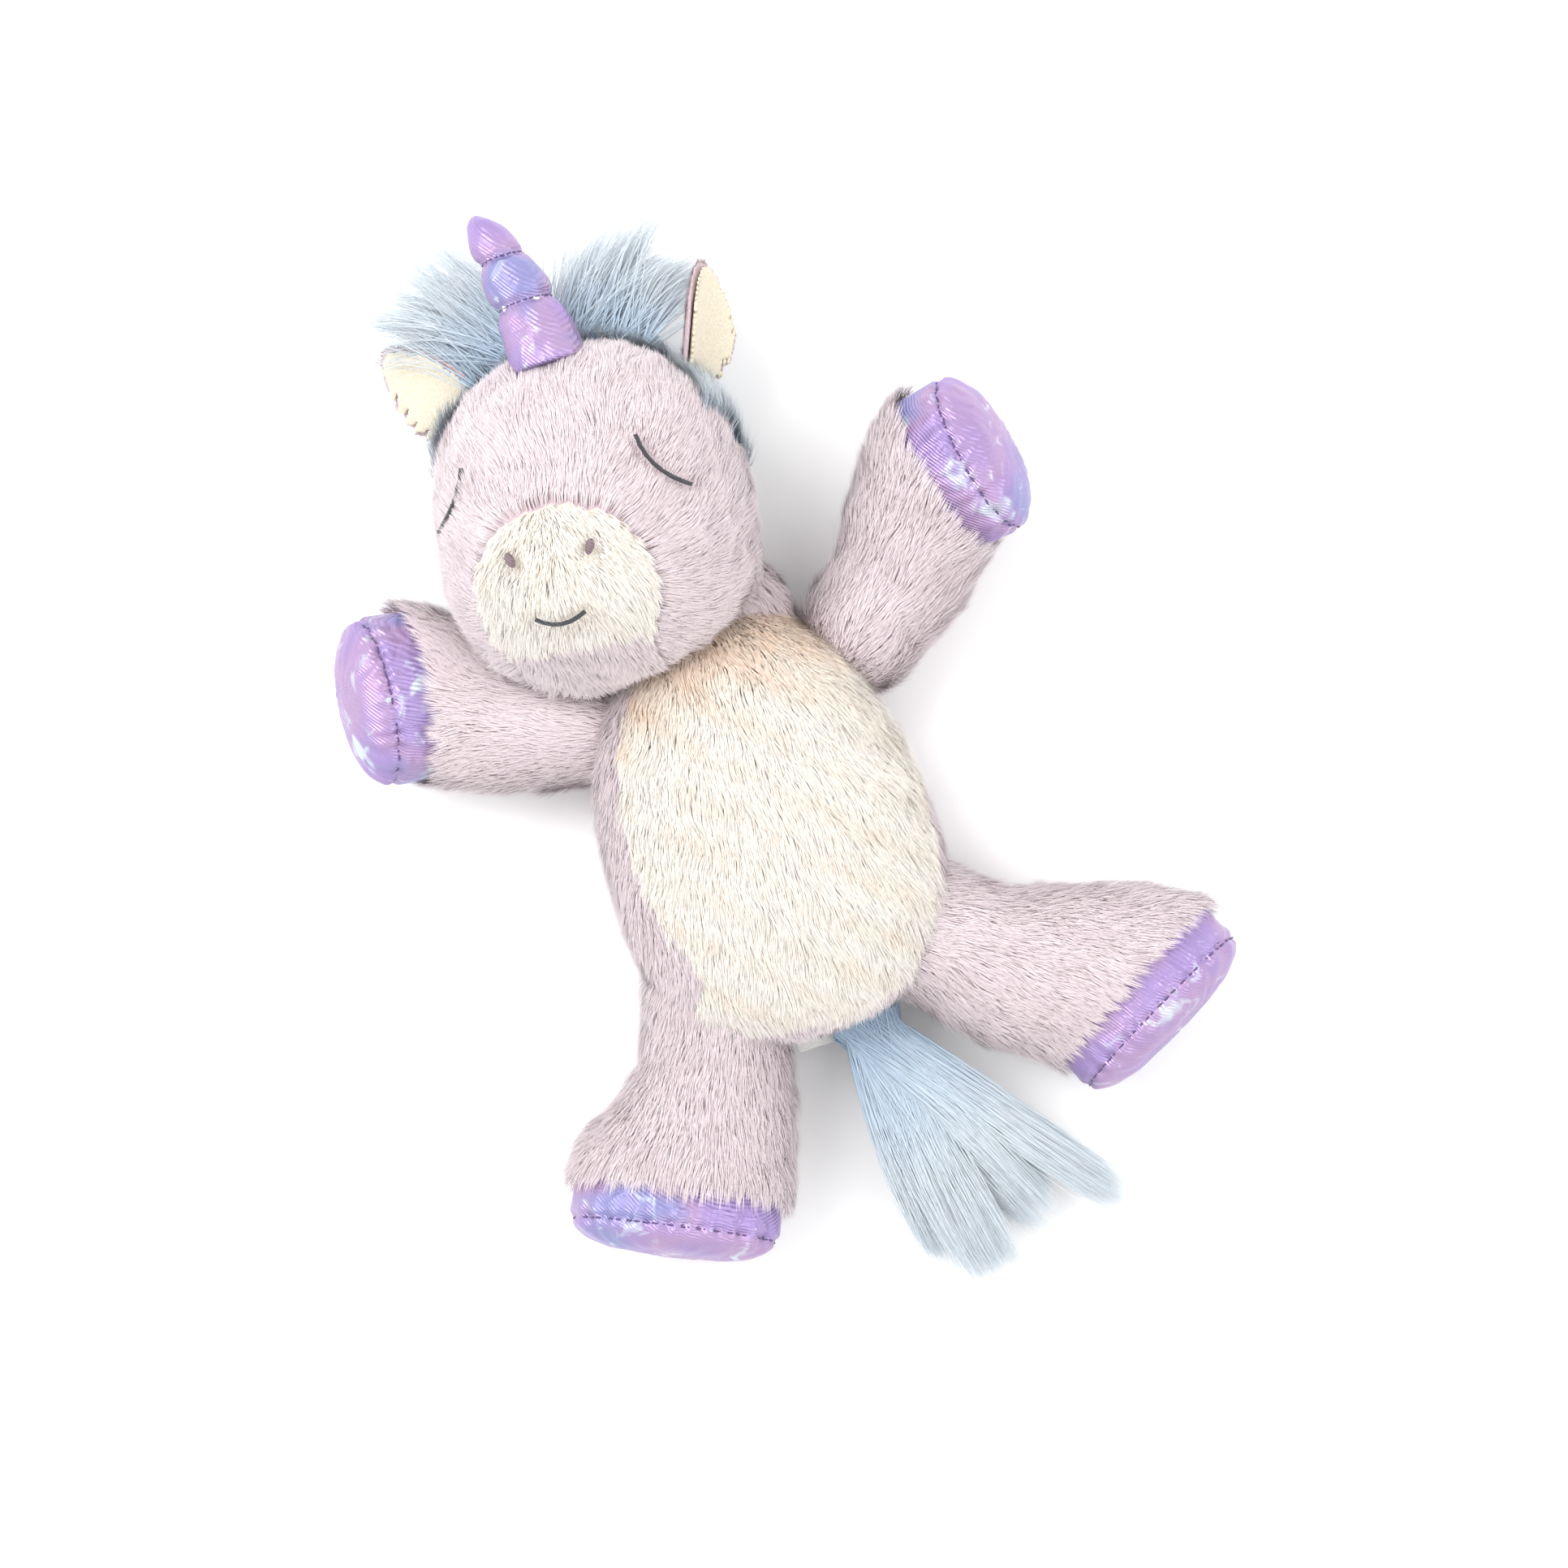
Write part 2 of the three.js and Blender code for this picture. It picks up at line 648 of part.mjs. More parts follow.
function hornShape(inset, to, around, steps) {
  const cone = new THREE.CylinderGeometry(1, 1, 1, around, steps);
  warp(cone, (p) => {
    const t = (p.y + 0.5) * to;
    const radius = Math.max(hornRadius(t) - inset, 0.5);
    return hornMiddle(t).add(V(p.x * radius, 0, p.z * radius));
  });
  return solid(cone);
}

function addHorn(group) {
  const put = (part) => {
    let cone = placed(part, hornFrame);
    for (const bend of [-hornBend, 0, hornBend]) {
      const turn = new THREE.Matrix4().makeRotationZ(rad(bend));
      const back = hornFrame.clone().multiply(turn).multiply(hornFrame.clone().invert());
      cone = cone.subtract(placed(inHead(headBag), back));
    }
    return cone;
  };
  const hollow = hornShape(wall / 2, 0.9, 8, 6);
  const mouthRadius = horn.radius - wall / 2;
  const mouth = new THREE.CylinderGeometry(mouthRadius, mouthRadius, 8, 8);
  const cover = hornShape(0, 1, 14, 20).subtract(hollow).subtract(solid(mouth));
  add(group, "horn_cover", cloth(lilacLame, 0.35, 0.4), put(cover));
  add(group, "horn_filling", cloth(polyester), put(hornShape(wall / 2 + gap, 0.89, 8, 6)));
  hornGathers.forEach((at, i) => {
    const radius = hornRadius(at) + gap + horn.thread;
    const ring = new THREE.TorusGeometry(radius, horn.thread / 2, 5, 14);
    ring.rotateX(Math.PI / 2).translate(...hornMiddle(at).toArray());
    add(group, `horn_gather_${i + 1}`, cloth(purpleThread, 0.6), placed(solid(ring), hornFrame));
  });
}

addHorn(toy);

// ---------------------------------------------------------------- hair

// A lock of long pile: a tapering bundle from its root.
function lock(length, halfWidth, halfDepth, around = 10, steps = 4) {
  const tuft = new THREE.CylinderGeometry(1, 1, 1, around, steps);
  return solid(
    warp(tuft, (p) => {
      const t = p.y + 0.5;
      const full = Math.sqrt(1 - 0.93 * t ** 1.5);
      return V(p.x * halfWidth * full, length * t, p.z * halfDepth * full);
    }),
  );
}

const hornRoom = [-hornBend, 0, hornBend].reduce((room, bend) => {
  const turned = hornFrame.clone().multiply(new THREE.Matrix4().makeRotationZ(rad(bend)));
  const swept = placed(hornShape(-4 * gap, 0.9, 8, 5), turned);
  return room ? room.add(swept) : swept;
}, null);

function addForelock(group, side) {
  const sign = side === "left" ? 1 : -1;
  const stand = new THREE.Matrix4().makeTranslation(horn.x + sign * forelock.x, forelock.y, horn.z);
  stand.multiply(new THREE.Matrix4().makeRotationZ(rad(forelock.angle[side])));
  const tuft = placed(lock(forelock.length, forelock.halfWidth, forelock.halfDepth), stand);
  add(group, `forelock_${side}_hair`, cloth(bluePile), inHead(tuft.subtract(headBag)).subtract(hornRoom));
}

for (const side of ["left", "right"]) addForelock(toy, side);

function addTail(group) {
  const middle = (tail.spreadFrom + tail.spreadTo) / 2;
  const stand = new THREE.Matrix4().makeTranslation(tail.x, tail.y, tail.z);
  stand.multiply(new THREE.Matrix4().makeRotationZ(rad(middle - 90)));
  const tab = new THREE.BoxGeometry(2 * tail.tabHalfWidth, tail.tabLength, 2 * tail.tabHalfDepth);
  const tabShape = placed(solid(tab.translate(0, tail.tabLength / 2, 0)), stand);
  add(group, "tail_tab", cloth(bluePile), tabShape.subtract(torsoShape(-gap, 28, 16)));
  const fan = new THREE.CylinderGeometry(1, 1, 1, 14, 5);
  const spread = rad(tail.spreadTo - tail.spreadFrom) / 2;
  const from = tail.tabLength + gap;
  warp(fan, (p) => {
    const t = p.y + 0.5;
    const reach = from + (tail.length - from) * t;
    const turn = spread * p.x * (0.6 + 0.4 * t);
    const half = tail.tabHalfWidth * (1 - t);
    const depth = tail.tabHalfDepth * (1 - 0.55 * t);
    const droop = (tail.z - tail.tabHalfDepth - 1) * t;
    const x = reach * Math.sin(turn) + half * p.x;
    return V(x, from + (reach - from) * Math.cos(turn), p.z * depth - droop);
  });
  add(group, "tail_hair", cloth(bluePile), placed(solid(fan), stand));
}

addTail(toy);

export default toy;
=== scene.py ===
"""Plush unicorn: fur, hair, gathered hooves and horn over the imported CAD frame."""

import json
import math

import bmesh
import bpy
import numpy as np
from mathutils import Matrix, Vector
from mathutils.bvhtree import BVHTree

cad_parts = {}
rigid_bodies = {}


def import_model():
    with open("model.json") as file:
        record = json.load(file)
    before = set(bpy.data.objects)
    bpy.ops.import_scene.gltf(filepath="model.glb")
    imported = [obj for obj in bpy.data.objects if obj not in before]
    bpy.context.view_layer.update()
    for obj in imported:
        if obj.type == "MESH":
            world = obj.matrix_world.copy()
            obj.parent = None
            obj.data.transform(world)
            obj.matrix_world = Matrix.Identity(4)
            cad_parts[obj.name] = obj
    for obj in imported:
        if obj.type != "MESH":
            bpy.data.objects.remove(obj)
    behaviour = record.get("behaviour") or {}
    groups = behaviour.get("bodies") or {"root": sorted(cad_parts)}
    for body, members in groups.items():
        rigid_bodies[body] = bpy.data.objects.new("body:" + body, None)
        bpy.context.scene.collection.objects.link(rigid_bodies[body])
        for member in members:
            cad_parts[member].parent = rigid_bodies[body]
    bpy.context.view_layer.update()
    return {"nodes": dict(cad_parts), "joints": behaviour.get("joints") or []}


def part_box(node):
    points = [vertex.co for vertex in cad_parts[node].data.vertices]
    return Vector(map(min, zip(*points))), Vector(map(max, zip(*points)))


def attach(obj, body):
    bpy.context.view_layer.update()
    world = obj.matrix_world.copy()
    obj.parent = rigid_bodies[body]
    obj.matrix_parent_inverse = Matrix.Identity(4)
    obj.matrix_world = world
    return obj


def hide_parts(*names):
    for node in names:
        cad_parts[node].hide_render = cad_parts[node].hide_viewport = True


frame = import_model()
NODES = frame["nodes"]

bl_info = {
    "name": "Plush unicorn",
    "version": (1, 0, 0),
    "blender": (4, 5, 0),
    "location": "View3D > Sidebar > Plush",
    "description": "Builds the fur, hair and sewn surfaces of a plush unicorn over its CAD frame",
    "category": "Object",
}

MM = 0.001
MOST_TUFTS = 62000
SIDES = ("left", "right")
LIMBS = tuple(f"{kind}_{side}" for side in SIDES for kind in ("arm", "leg"))


# ------------------------------------------------------------------ properties


def colour_property(name, description, hexcode):
    return bpy.props.StringProperty(name=name, description=description, default=hexcode)


class PLUSH_PG_pile(bpy.types.PropertyGroup):
    """Sizes of the short pile and the long hair."""

    length: bpy.props.FloatProperty(
        name="Pile length", description="Short pile, root to tip", default=8.5 * MM, unit="LENGTH"
    )
    width: bpy.props.FloatProperty(
        name="Strand width", description="Width of one tuft of fibres", default=0.42 * MM, unit="LENGTH"
    )
    lean: bpy.props.FloatProperty(
        name="Lean", description="How far the pile lies over", default=math.radians(62), subtype="ANGLE"
    )
    density: bpy.props.FloatProperty(
        name="Tufts per square millimetre", description="Closeness of the pile", default=3.4
    )
    hair_width: bpy.props.FloatProperty(
        name="Hair width", description="Width of one long fibre bundle", default=0.34 * MM, unit="LENGTH"
    )


class PLUSH_PG_colours(bpy.types.PropertyGroup):
    """sRGB colours of the cloths and threads."""

    # The root colours are darker than the tips: painted shade between the fibres.
    pink_root: colour_property("Pink root", "Pile near the backing", "D6C4C8")
    pink_tip: colour_property("Pink tip", "Pile at its ends", "E8DDE0")
    cream_root: colour_property("Cream root", "Belly pile near the backing", "E6DBCF")
    cream_tip: colour_property("Cream tip", "Belly pile at its ends", "F3EFE9")
    blue_root: colour_property("Blue root", "Long pile near the backing", "A9C4DC")
    blue_tip: colour_property("Blue tip", "Long pile at its ends", "D2DDE3")
    velour: colour_property("Ear velour", "Lining of the ears", "E5DDCB")
    charcoal: colour_property("Charcoal thread", "Eyes and mouth", "33343A")
    mauve: colour_property("Mauve thread", "Nostrils", "7A656A")
    purple: colour_property("Purple thread", "Hoof and horn stitching", "5B4580")
    fibre: colour_property("Polyester fibre", "Stuffing", "F2F2F0")


# ------------------------------------------------------------------ materials


def linear(hexcode):
    """An sRGB hex colour as linear RGBA."""
    values = [int(hexcode[i : i + 2], 16) / 255 for i in (0, 2, 4)]
    return (*[v / 12.92 if v <= 0.04045 else ((v + 0.055) / 1.055) ** 2.4 for v in values], 1.0)


def node(tree, kind, settings=(), **links):
    """Adds a node with its settings; links maps an input's name or number to a socket or value."""
    made = tree.nodes.new(kind)
    for name, value in dict(settings).items():
        setattr(made, name, value)
    for key, value in links.items():
        index = int(key[1:]) if key[0] == "_" else key.replace("_", " ")
        if isinstance(value, bpy.types.NodeSocket):
            tree.links.new(value, made.inputs[index])
        else:
            made.inputs[index].default_value = value
    return made


def material(name, **shader_values):
    """A material with a Principled shader, and the tree and shader to build on."""
    made = bpy.data.materials.new(name)
    made.use_nodes = True
    shader = made.node_tree.nodes["Principled BSDF"]
    for key, value in shader_values.items():
        shader.inputs[key.replace("_", " ")].default_value = value
    return made, made.node_tree, shader


def ramp(tree, factor, stops):
    """A colour ramp along a factor; stops are (place, hex colour)."""
    made = node(tree, "ShaderNodeValToRGB", _0=factor)
    elements = made.color_ramp.elements
    while len(elements) < len(stops):
        elements.new(0.5)
    for element, (place, hexcode) in zip(elements, stops):
        element.position = place
        element.color = linear(hexcode)
    return made.outputs[0]


TONES = [(0.0, "D9CFD2"), (0.5, "F5F2F3"), (1.0, "FFFFFF")]
PEACH_TONES = [(0.0, "F6DFCD"), (0.35, "F8E9DD"), (0.6, "FCF9F4"), (1.0, "FFFFFF")]


def pile_material(name, root, tip, tones=TONES):
    """Acrylic pile: darker at the root, where painted shade lies between the fibres, pale and soft at the
    tips. The tone of each tuft lies along the map's U, and root to tip along its V."""
    made, tree, shader = material(name, Roughness=0.85, Sheen_Weight=0.35, Sheen_Roughness=0.5)
    shader.inputs["Specular IOR Level"].default_value = 0.15
    uv = node(tree, "ShaderNodeUVMap", {"uv_map": "OFBake"})
    split = node(tree, "ShaderNodeSeparateXYZ", _0=uv.outputs[0])
    # The darker root colour is painted shade between the fibres; the tip colour is the pile's own.
    along = ramp(tree, split.outputs[1], [(0.0, root), (0.55, tip), (1.0, tip)])
    tone = ramp(tree, split.outputs[0], tones)
    mixed = node(tree, "ShaderNodeMix", {"data_type": "RGBA", "blend_type": "MULTIPLY"})
    mixed.inputs[0].default_value = 1.0
    tree.links.new(along, mixed.inputs[6])
    tree.links.new(tone, mixed.inputs[7])
    tree.links.new(mixed.outputs[2], shader.inputs["Base Color"])
    return made


def knit_material(name, hexcode, dark, spacing_mm=1.1, roughness=0.9):
    """Knitted backing cloth: small loops in rows, seen between tufts and at seams."""
    made, tree, shader = material(name, Roughness=roughness, Sheen_Weight=0.2)
    place = node(tree, "ShaderNodeTexCoord").outputs["Object"]
    scale = 1 / (spacing_mm * MM)
    loops = node(tree, "ShaderNodeTexVoronoi", Vector=place, Scale=scale)
    # Each loop darkens towards its edge: painted shade in the gaps between the loops.
    colour = ramp(tree, loops.outputs["Distance"], [(0.0, hexcode), (0.75, dark)])
    tree.links.new(colour, shader.inputs["Base Color"])
    bump = node(tree, "ShaderNodeBump", Strength=0.4, Distance=0.3 * MM, Height=loops.outputs[0])
    tree.links.new(bump.outputs[0], shader.inputs["Normal"])
    return made


def lame_material(name, hues, crumple, rib_mm=0.9):
    """Woven lamé: a fine rib of metallised film. Its tint drifts from lilac to pink and blue,
    and a painted highlight of pale green white lies along its creases. The rib is drawn 0.9 mm wide so that
    it shows."""
    made, tree, shader = material(name, Roughness=0.36, Metallic=0.45)
    place = node(tree, "ShaderNodeTexCoord").outputs["Object"]
    drift = node(tree, "ShaderNodeTexNoise", Vector=place, Scale=26.0, Detail=2.0)
    tint = ramp(tree, drift.outputs["Fac"], hues)
    creases = node(tree, "ShaderNodeTexNoise", Vector=place, Scale=95.0, Detail=3.0, Distortion=0.8)
    # The crease noise drives the bump and a painted highlight: above these bounds, pale green white DDF3F0
    # is mixed into the base colour.
    dark, pale = 0.5 - 0.16, 0.5 + 0.10
    painted_highlight_mask = ramp(tree, creases.outputs["Fac"], [(dark, "000000"), (pale, "262626"), (0.72, "C8C8C8")])
    painted_highlight_mix = node(tree, "ShaderNodeMix", {"data_type": "RGBA", "blend_type": "MIX"})
    tree.links.new(painted_highlight_mask, painted_highlight_mix.inputs[0])
    tree.links.new(tint, painted_highlight_mix.inputs[6])
    painted_highlight_mix.inputs[7].default_value = linear("DDF3F0")
    tree.links.new(painted_highlight_mix.outputs[2], shader.inputs["Base Color"])
    rib = node(tree, "ShaderNodeTexWave", {"bands_direction": "DIAGONAL"}, Vector=place)
    rib.inputs["Scale"].default_value = 0.31 / (rib_mm * MM)
    rib.inputs["Distortion"].default_value = 0.6
    height = node(tree, "ShaderNodeMath", {"operation": "MULTIPLY_ADD"})
    tree.links.new(creases.outputs["Fac"], height.inputs[0])
    height.inputs[1].default_value = crumple
    tree.links.new(rib.outputs["Fac"], height.inputs[2])
    bump = node(tree, "ShaderNodeBump", Strength=0.5, Distance=0.35 * MM)
    tree.links.new(height.outputs[0], bump.inputs["Height"])
    tree.links.new(bump.outputs[0], shader.inputs["Normal"])
    return made


def thread_material(name, hexcode, roughness=0.45):
    """Twisted embroidery thread with a slight sheen."""
    made, tree, shader = material(name, Roughness=roughness, Sheen_Weight=0.3)
    place = node(tree, "ShaderNodeTexCoord").outputs["Object"]
    twist = node(tree, "ShaderNodeTexWave", {"bands_direction": "DIAGONAL"}, Vector=place)
    twist.inputs["Scale"].default_value = 420.0
    base = linear(hexcode)
    # Bands along the twist are darkened to 0.6: painted shade in the grooves between the plies.
    shade = node(tree, "ShaderNodeMix", {"data_type": "RGBA"}, _0=twist.outputs["Fac"])
    shade.inputs[6].default_value = tuple(c * 0.6 for c in base[:3]) + (1.0,)
    shade.inputs[7].default_value = base
    tree.links.new(shade.outputs[2], shader.inputs["Base Color"])
    bump = node(tree, "ShaderNodeBump", Strength=0.5, Distance=0.2 * MM, Height=twist.outputs[1])
    tree.links.new(bump.outputs[0], shader.inputs["Normal"])
    return made


LILAC = [(0.25, "9682B6"), (0.42, "9F88BC"), (0.52, "A98DB4"), (0.62, "8A89BA"), (0.8, "9682B8")]
SOLE = [(0.25, "9583B8"), (0.45, "A98CB4"), (0.56, "9A84B8"), (0.7, "878DBA")]


def make_materials():
    c = bpy.context.scene.plush_colours
    return {
        "pink": pile_material("acrylic_pile_pink", c.pink_root, c.pink_tip),
        "cream": pile_material("acrylic_pile_cream", c.cream_root, c.cream_tip, PEACH_TONES),
        "blue": pile_material("acrylic_long_pile_blue", c.blue_root, c.blue_tip),
        "pink_knit": knit_material("polyester_knit_backing_pink", "CFBABF", "B9A2A9"),
        "cream_knit": knit_material("polyester_knit_backing_cream", "E6DCD0", "D2C6B7"),
        "blue_knit": knit_material("polyester_knit_backing_blue", "98B2CC", "7E9DBC"),
        "velour": knit_material("cotton_velour_cream", c.velour, "D3C8B2", 0.7),
        "lame": lame_material("woven_lame_lilac", LILAC, 9.0),
        "lame_sole": lame_material("woven_lame_sole", SOLE, 2.5),
        "charcoal": thread_material("embroidery_thread_charcoal", c.charcoal),
        "mauve": thread_material("embroidery_thread_mauve", c.mauve),
        "purple": thread_material("sewing_thread_purple", c.purple),
        "fibre": knit_material("polyester_fibre_stuffing", c.fibre, "DCDCD8", 2.5),
        "tape": knit_material("satin_ribbon_white", "F4F4F2", "E4E4E0", 0.6, 0.5),
    }


MATERIALS = {}


# ------------------------------------------------------------------ mesh tools


def new_object(name, mesh, finish, body, smooth=True):
    obj = bpy.data.objects.new(name, mesh)
    bpy.context.scene.collection.objects.link(obj)
    mesh.materials.clear()
    mesh.materials.append(MATERIALS[finish])
    if smooth:
        mesh.polygons.foreach_set("use_smooth", [True] * len(mesh.polygons))
    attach(obj, body)
    return obj


def world_verts(obj):
    mesh = obj.data
    flat = np.empty(len(mesh.vertices) * 3)
    mesh.vertices.foreach_get("co", flat)
    return flat.reshape(-1, 3)


def merged_copy(names):
    """One mesh of several CAD nodes, in the row frame."""
    joined = bmesh.new()
    for name in names:
        joined.from_mesh(NODES[name].data)
    mesh = bpy.data.meshes.new("merged")
    joined.to_mesh(mesh)
    joined.free()
    return mesh


def apply_modifiers(obj):
    made = bpy.data.meshes.new_from_object(obj.evaluated_get(bpy.context.evaluated_depsgraph_get()))
    obj.modifiers.clear()
    obj.data = made
    return obj


def stuffed_skin(name, names, voxel_mm, rounds, grow_mm=0.0):
    """The outer skin of CAD nodes as one smooth stuffed surface."""
    obj = bpy.data.objects.new(name, merged_copy(names))
    bpy.context.scene.collection.objects.link(obj)
    remesh = obj.modifiers.new("voxels", "REMESH")
    remesh.mode = "VOXEL"
    remesh.voxel_size = voxel_mm * MM
    soften = obj.modifiers.new("soften", "SMOOTH")
    soften.factor = 0.5
    soften.iterations = rounds
    apply_modifiers(obj)
    keep_outer(obj.data)
    if grow_mm:
        normals = np.empty(len(obj.data.vertices) * 3)
        obj.data.vertices.foreach_get("normal", normals)
        verts = world_verts(obj) + normals.reshape(-1, 3) * grow_mm * MM
        obj.data.vertices.foreach_set("co", verts.ravel())
    return obj


def keep_outer(mesh):
    """Keeps the largest island: the voxel skin's inner walls are dropped."""
    work = bmesh.new()
    work.from_mesh(mesh)
    left = set(work.verts)
    best = []
    while left:
        island = [left.pop()]
        for vert in island:
            for edge in vert.link_edges:
                other = edge.other_vert(vert)
                if other in left:
                    left.discard(other)
                    island.append(other)
        if spread(island) > spread(best):
            best = island
    drop = set(work.verts) - set(best)
    bmesh.ops.delete(work, geom=list(drop), context="VERTS")
    work.to_mesh(mesh)
    work.free()


def spread(verts):
    if not verts:
        return 0.0
    points = np.array([v.co[:] for v in verts])
    return float(np.prod(points.max(axis=0) - points.min(axis=0)))


def nearest_node(names):
    """A function that gives, for a point, the number of the CAD node whose surface is nearest."""
    verts, polys, owner = [], [], []
    for number, name in enumerate(names):
        mesh = NODES[name].data
        start = len(verts)
        verts.extend(v.co.copy() for v in mesh.vertices)
        for poly in mesh.polygons:
            polys.append([start + i for i in poly.vertices])
            owner.append(number)
    tree = BVHTree.FromPolygons(verts, polys)
    return lambda point: owner[tree.find_nearest(point)[2]]


def split_skin(skin, names, labels):
    """Cuts a skin into one object for each CAD panel, by the nearest panel."""
    which = nearest_node(names)
    mesh = skin.data
    groups = {label: [] for label in labels}
    for poly in mesh.polygons:
        groups[labels[which(poly.center)]].append(poly.index)
    parts = {}
    for label, faces in groups.items():
        work = bmesh.new()
        work.from_mesh(mesh)
        work.faces.ensure_lookup_table()
        keep = set(faces)
        doomed = [f for f in work.faces if f.index not in keep]
        bmesh.ops.delete(work, geom=doomed, context="FACES")
        part = bpy.data.meshes.new(label)
        work.to_mesh(part)
        work.free()
        parts[label] = part
    return parts


def sample(mesh, per_mm2, seed):
    """Points, normals spread evenly over a mesh's triangles."""
    mesh.calc_loop_triangles()
    count = len(mesh.loop_triangles)
    corners = np.empty(count * 3, dtype=np.int32)
    mesh.loop_triangles.foreach_get("vertices", corners)
    corners = corners.reshape(-1, 3)
    verts = np.empty(len(mesh.vertices) * 3)
    mesh.vertices.foreach_get("co", verts)
    verts = verts.reshape(-1, 3)
    normals = np.empty(len(mesh.vertices) * 3)
    mesh.vertices.foreach_get("normal", normals)
    normals = normals.reshape(-1, 3)
    a, b, c = (verts[corners[:, i]] for i in range(3))
    area = np.linalg.norm(np.cross(b - a, c - a), axis=1) / 2
    total = area.sum() / (MM * MM)
    rng = np.random.default_rng(seed)
    pick = rng.choice(count, size=int(total * per_mm2), p=area / area.sum())
    u, v = rng.random((2, len(pick)))
    flip = u + v > 1
    u[flip], v[flip] = 1 - u[flip], 1 - v[flip]
    w = np.stack([1 - u - v, u, v], axis=1)[:, :, None]
    points = (verts[corners[pick]] * w).sum(axis=1)
    normal = (normals[corners[pick]] * w).sum(axis=1)
    return points, unit(normal), rng


def unit(vectors):
    return vectors / np.maximum(np.linalg.norm(vectors, axis=-1, keepdims=True), 1e-9)


def waves(points, scale_mm, seed):
    """A smooth random vector field, for partings and clumps of the pile."""
    rng = np.random.default_rng(seed)
    field = np.zeros((len(points), 3))
    for _ in range(10):
        way = unit(rng.normal(size=3)) * rng.uniform(0.6, 1.6) * 2 * math.pi / (scale_mm * MM)
        field += np.sin(points @ way + rng.uniform(0, 6.3))[:, None] * rng.normal(size=3)
    return field / 10


def ribbon_object(name, paths, normals, widths, tone, finish, body):
    """Flat tapering ribbons along paths (strands, steps, 3), facing along their normals."""
    strands, steps, _ = paths.shape
    ahead = unit(np.gradient(paths, axis=1))
    side = unit(np.cross(ahead, normals[:, None, :]))
    taper = np.linspace(1, 0, steps) ** 0.8
    half = side[:, :-1] * (widths[:, None, None] / 2) * taper[None, :-1, None]
    left = paths[:, :-1] - half
    right = paths[:, :-1] + half
    tip = paths[:, -1:]
    verts = np.concatenate([np.stack([left, right], axis=2).reshape(strands, -1, 3), tip], axis=1)
    per = verts.shape[1]
    faces = []
    for i in range(steps - 2):
        faces.append((2 * i, 2 * i + 1, 2 * i + 3, 2 * i + 2))
    last = (2 * (steps - 2), 2 * (steps - 2) + 1, per - 1)
    local_v = np.repeat(np.linspace(0, 1, steps)[:-1], 2)
    local_v = np.append(local_v, 1.0)
    local_u = np.append(np.tile([-1.0, 1.0], steps - 1), 0.0)
    order = [i for face in faces for i in face] + list(last)
    sizes = [4] * len(faces) + [3]
    base = np.arange(strands)[:, None] * per
    loops = (base + np.array(order)[None, :]).ravel()
    mesh = bpy.data.meshes.new(name)
    mesh.vertices.add(strands * per)
    mesh.vertices.foreach_set("co", verts.reshape(-1))
    mesh.loops.add(len(loops))
    mesh.loops.foreach_set("vertex_index", loops.astype(np.int32))
    totals = np.tile(sizes, strands)
    mesh.polygons.add(len(totals))
    starts = np.concatenate([[0], np.cumsum(totals)[:-1]]).astype(np.int32)
    mesh.polygons.foreach_set("loop_start", starts)
    mesh.polygons.foreach_set("use_smooth", np.ones(len(totals), dtype=bool))
    mesh.update()
    map_layer = mesh.uv_layers.new(name="OFBake")
    u = np.clip(0.03 + 0.94 * tone, 0.03, 0.97)[:, None] + 0.01 * local_u[order][None, :]
    v = np.broadcast_to(0.02 + 0.96 * local_v[order], u.shape)
    map_layer.data.foreach_set("uv", np.stack([u, v], axis=2).ravel())
    soft = np.repeat(unit(normals + 0.25 * ahead[:, 0]), per, axis=0)
    obj = new_object(name, mesh, finish, body)
    mesh.normals_split_custom_set_from_vertices(soft)
    return obj


def finish_skin(name, mesh, finish, body, replaces, subdivide=False):
    """Backing cloth under the pile, in place of its CAD panel."""
    obj = new_object(name, mesh, finish, body)
    if subdivide:
        obj.modifiers.new("round", "SUBSURF").levels = 1
        apply_modifiers(obj)
    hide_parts(*replaces)
    return obj


